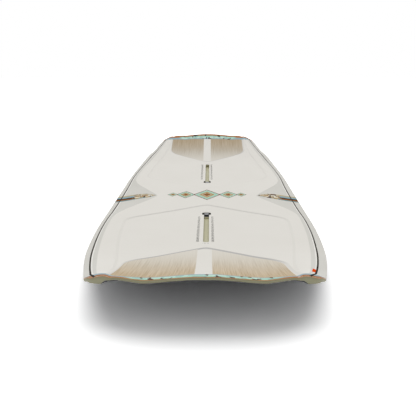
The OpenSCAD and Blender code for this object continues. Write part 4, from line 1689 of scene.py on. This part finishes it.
@dataclass
class Fins(Assembly):
    """Four bolt-on fins with their screws and inserts."""

    fin_x: float = 98.0
    fin_a: float = 500.0
    screw_pitch: float = 114.0
    foot_t: float = 3.6
    head_r: float = 5.4
    head_h: float = 2.8
    head_edge: float = 0.25
    head_edge_h: float = 0.2
    head_band_h: float = 0.35
    point: float = 0.6
    shank_r: float = 2.95
    screw_l: float = 9.4
    recess: float = 1.7
    recess_half: float = 3.0
    recess_floor_half: float = 1.1
    arm_half: float = 0.62
    arm_start: float = 0.5
    fin_edge: float = 0.7

    @staticmethod
    def frame(form: BoardForm, end: End, side: Side) -> Matrix:
        """Frame of a fin: on the base, tilted with it."""
        h, a = np.array([Fins.fin_x] * 2), np.array([Fins.fin_a, Fins.fin_a + 1.0])
        z = form.base(h, a)
        tilt = math.atan(z[1] - z[0]) * end.value
        spot = Vector((Fins.fin_x * side.value, Fins.fin_a * end.value, z[0])) * MM
        return Matrix.Translation(spot) @ Matrix.Rotation(tilt, 4, "X")

    def screw(self) -> bpy.types.Mesh:
        """Countersunk screw, head down, with a cross recess."""
        low = -self.foot_t
        profile = [
            (0, low),
            (self.head_r - self.head_edge, low),
            (self.head_r, low + self.head_edge_h),
            (self.head_r, low + self.head_band_h),
            (self.shank_r, low + self.head_h),
            (self.shank_r, low + self.screw_l - self.point),
            (self.shank_r - self.point, low + self.screw_l),
            (0, low + self.screw_l),
        ]
        piece = add_object("screw", lathe("screw", profile, 40))
        wide, narrow = self.recess_half, self.recess_floor_half
        start, floor = low - self.arm_start, low + self.recess
        bar = [(-wide, start), (wide, start), (narrow, floor), (-narrow, floor)]
        points = np.array([(x, y, z) for y in (-self.arm_half, self.arm_half) for x, z in bar])
        for turn in (0, math.pi / 2):
            arm = make_mesh("arm", points, prism_faces(len(bar)))
            arm.transform(Matrix.Rotation(turn, 4, "Z"))
            cut(piece, arm)
        mesh = shade(piece.data)
        bpy.data.objects.remove(piece)
        return mesh

    def pair_tree(self) -> Tree:
        """Tree that repeats a screw at a fin's two holes."""
        tree = Tree("screw_pair")
        pitch = tree.input("Pitch", 0.114)
        half = tree.node("ShaderNodeMath", pitch, -0.5, operation="MULTIPLY")
        screws = tree.row(tree.given.outputs["Geometry"], 2, half.outputs[0], pitch)
        tree.end(screws, Finishes.steel.material())
        return tree

    def build(self) -> None:
        """Builds the fins and screws, and dresses the inserts."""
        screw, tree = self.screw(), self.pair_tree()
        for end, side in product(End, Side):
            name = f"{end.label}_{side.label}_fin"
            self.dress(rounded_node(name, self.fin_edge), Finishes.nylon, Body.BOARD, "black_nylon", [name])
            pair = tree.run(f"{name}_screw_pair", screw.copy(), Pitch=self.screw_pitch * MM)
            pair.data.transform(Fins.frame(self.form, end, side))
            self.dress(pair, Finishes.steel, Body.BOARD, "steel", [f"{name}_screws"])
            dress_node(f"{name}_inserts", Finishes.brass)


# Inside


@dataclass
class Core(Assembly):
    """Foam core, stringers and the blocks under the tracks."""

    corner_reach: float = 774.0
    top_gap: float = 0.6

    def blank(self) -> bpy.types.Object:
        """Copy of the CAD core, its four thin corners cut off and its top a little lower."""
        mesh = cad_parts["core"].data.copy()
        with opened(mesh, CAD_WELD) as work:
            for end, side in product(End, Side):
                way = Vector((side.value, end.value, 0.0))
                whole = work.verts[:] + work.edges[:] + work.faces[:]
                place = way * (self.corner_reach / 2 * MM)
                made = bmesh.ops.bisect_plane(work, geom=whole, plane_co=place, plane_no=way, clear_outer=True)
                rim = [part for part in made["geom_cut"] if isinstance(part, bmesh.types.BMEdge)]
                bmesh.ops.edgenet_fill(work, edges=rim)
            bmesh.ops.recalc_face_normals(work, faces=work.faces)
        points = places(mesh)
        h, a = np.abs(points[:, 0]), np.abs(points[:, 1])
        points[:, 2] -= self.top_gap * (points[:, 2] > (self.form.deck(h, a) + self.form.base(h, a)) / 2)
        mesh.vertices.foreach_set("co", (points * MM).ravel())
        return add_object("core_blank", shade(mesh))

    def build(self) -> None:
        """Builds the core and dresses the pieces set in it."""
        self.dress(self.blank(), Finishes.foam, Body.BOARD, "core_foam", ["core"])
        for side in Side:
            dress_node(f"{side.label}_stringer", Finishes.timber)
        for end in End:
            dress_node(f"{end.label}_track_block", Finishes.dense)


# Studio


@dataclass
class Studio:
    """Floor, light and camera."""

    camera_place: tuple[float, float, float] = (6.3, -1349.97, 337.14)
    camera_turn: tuple[float, float, float] = (75.57, 0.0, 0.16)
    lens: float = 50.26
    floor_half: float = 9.0
    fill: float = 0.515
    lamp: float = 1.43
    lamp_spread: float = 76.0
    lamp_lean: float = 22.0
    floor_gain: float = 1.6
    floor_grey: float = 0.8
    floor_z: float = -2e-4
    lamp_place: tuple[float, float, float] = (0.0, 1.5, 1.9)
    sensor: float = 36.0
    clip: tuple[float, float] = (0.01, 50.0)

    def seen(self, graph: Graph) -> Socket:
        """One for rays that show the background itself: from the camera, a mirror or through glass."""
        path = graph.node("ShaderNodeLightPath")
        shown = graph.math("MAXIMUM", path.outputs["Is Camera Ray"], path.outputs["Is Glossy Ray"])
        return graph.math("MAXIMUM", shown, path.outputs["Is Transmission Ray"])

    def floor(self) -> None:
        """Pale floor that keeps the board's shadow."""
        s, z = self.floor_half, self.floor_z
        mesh = bpy.data.meshes.new("floor")
        mesh.from_pydata([(-s, -s, z), (s, -s, z), (s, s, z), (-s, s, z)], [], [(0, 1, 2, 3)])
        made = bpy.data.materials.new("floor")
        graph = Graph(made)
        greys = (self.floor_grey, self.floor_gain)
        lit, shown = (graph.node("ShaderNodeBsdfDiffuse", Color=(grey, grey, grey, 1.0)) for grey in greys)
        both = graph.node("ShaderNodeMixShader", Fac=self.seen(graph))
        graph.feed(both.inputs[1], lit.outputs[0])
        graph.feed(both.inputs[2], shown.outputs[0])
        graph.node("ShaderNodeOutputMaterial", Surface=both.outputs[0])
        mesh.materials.append(made)
        add_object("floor", mesh)

    def light(self) -> None:
        """Even white surroundings and one broad lamp overhead."""
        world = bpy.data.worlds.new("studio")
        bpy.context.scene.world = world
        graph = Graph(world)
        strength = graph.between(self.seen(graph), 0.0, 1.0, self.fill, 1.0)
        sky = graph.node("ShaderNodeBackground", Color=(1.0, 1.0, 1.0, 1.0), Strength=strength)
        graph.node("ShaderNodeOutputWorld", Surface=sky.outputs[0])
        lamp = bpy.data.lights.new("overhead", "SUN")
        lamp.energy, lamp.angle = self.lamp, math.radians(self.lamp_spread)
        holder = add_object("overhead", lamp)
        holder.location = self.lamp_place
        holder.rotation_euler = (math.radians(-self.lamp_lean), 0.0, 0.0)

    def camera(self) -> None:
        """Camera at the photograph's angle."""
        data = bpy.data.cameras.new("camera")
        data.lens, data.sensor_width = self.lens, self.sensor
        data.clip_start, data.clip_end = self.clip
        holder = add_object("camera", data)
        holder.location = Vector(self.camera_place) * MM
        holder.rotation_euler = [math.radians(v) for v in self.camera_turn]
        bpy.context.scene.camera = holder

    def build(self) -> None:
        """Builds the studio."""
        self.camera()
        self.floor()
        self.light()
        bpy.context.scene.view_settings.view_transform = "Standard"


def main() -> None:
    """Builds the board's groups in order."""
    logging.basicConfig(level=logging.INFO, format="%(name)s: %(message)s")
    form = BoardForm()
    Studio().build()
    for group in (Shell(form), Print(form), Stance(form), Fins(form), Core(form)):
        group.build()
        group.report()


if __name__ == "__main__":
    main()
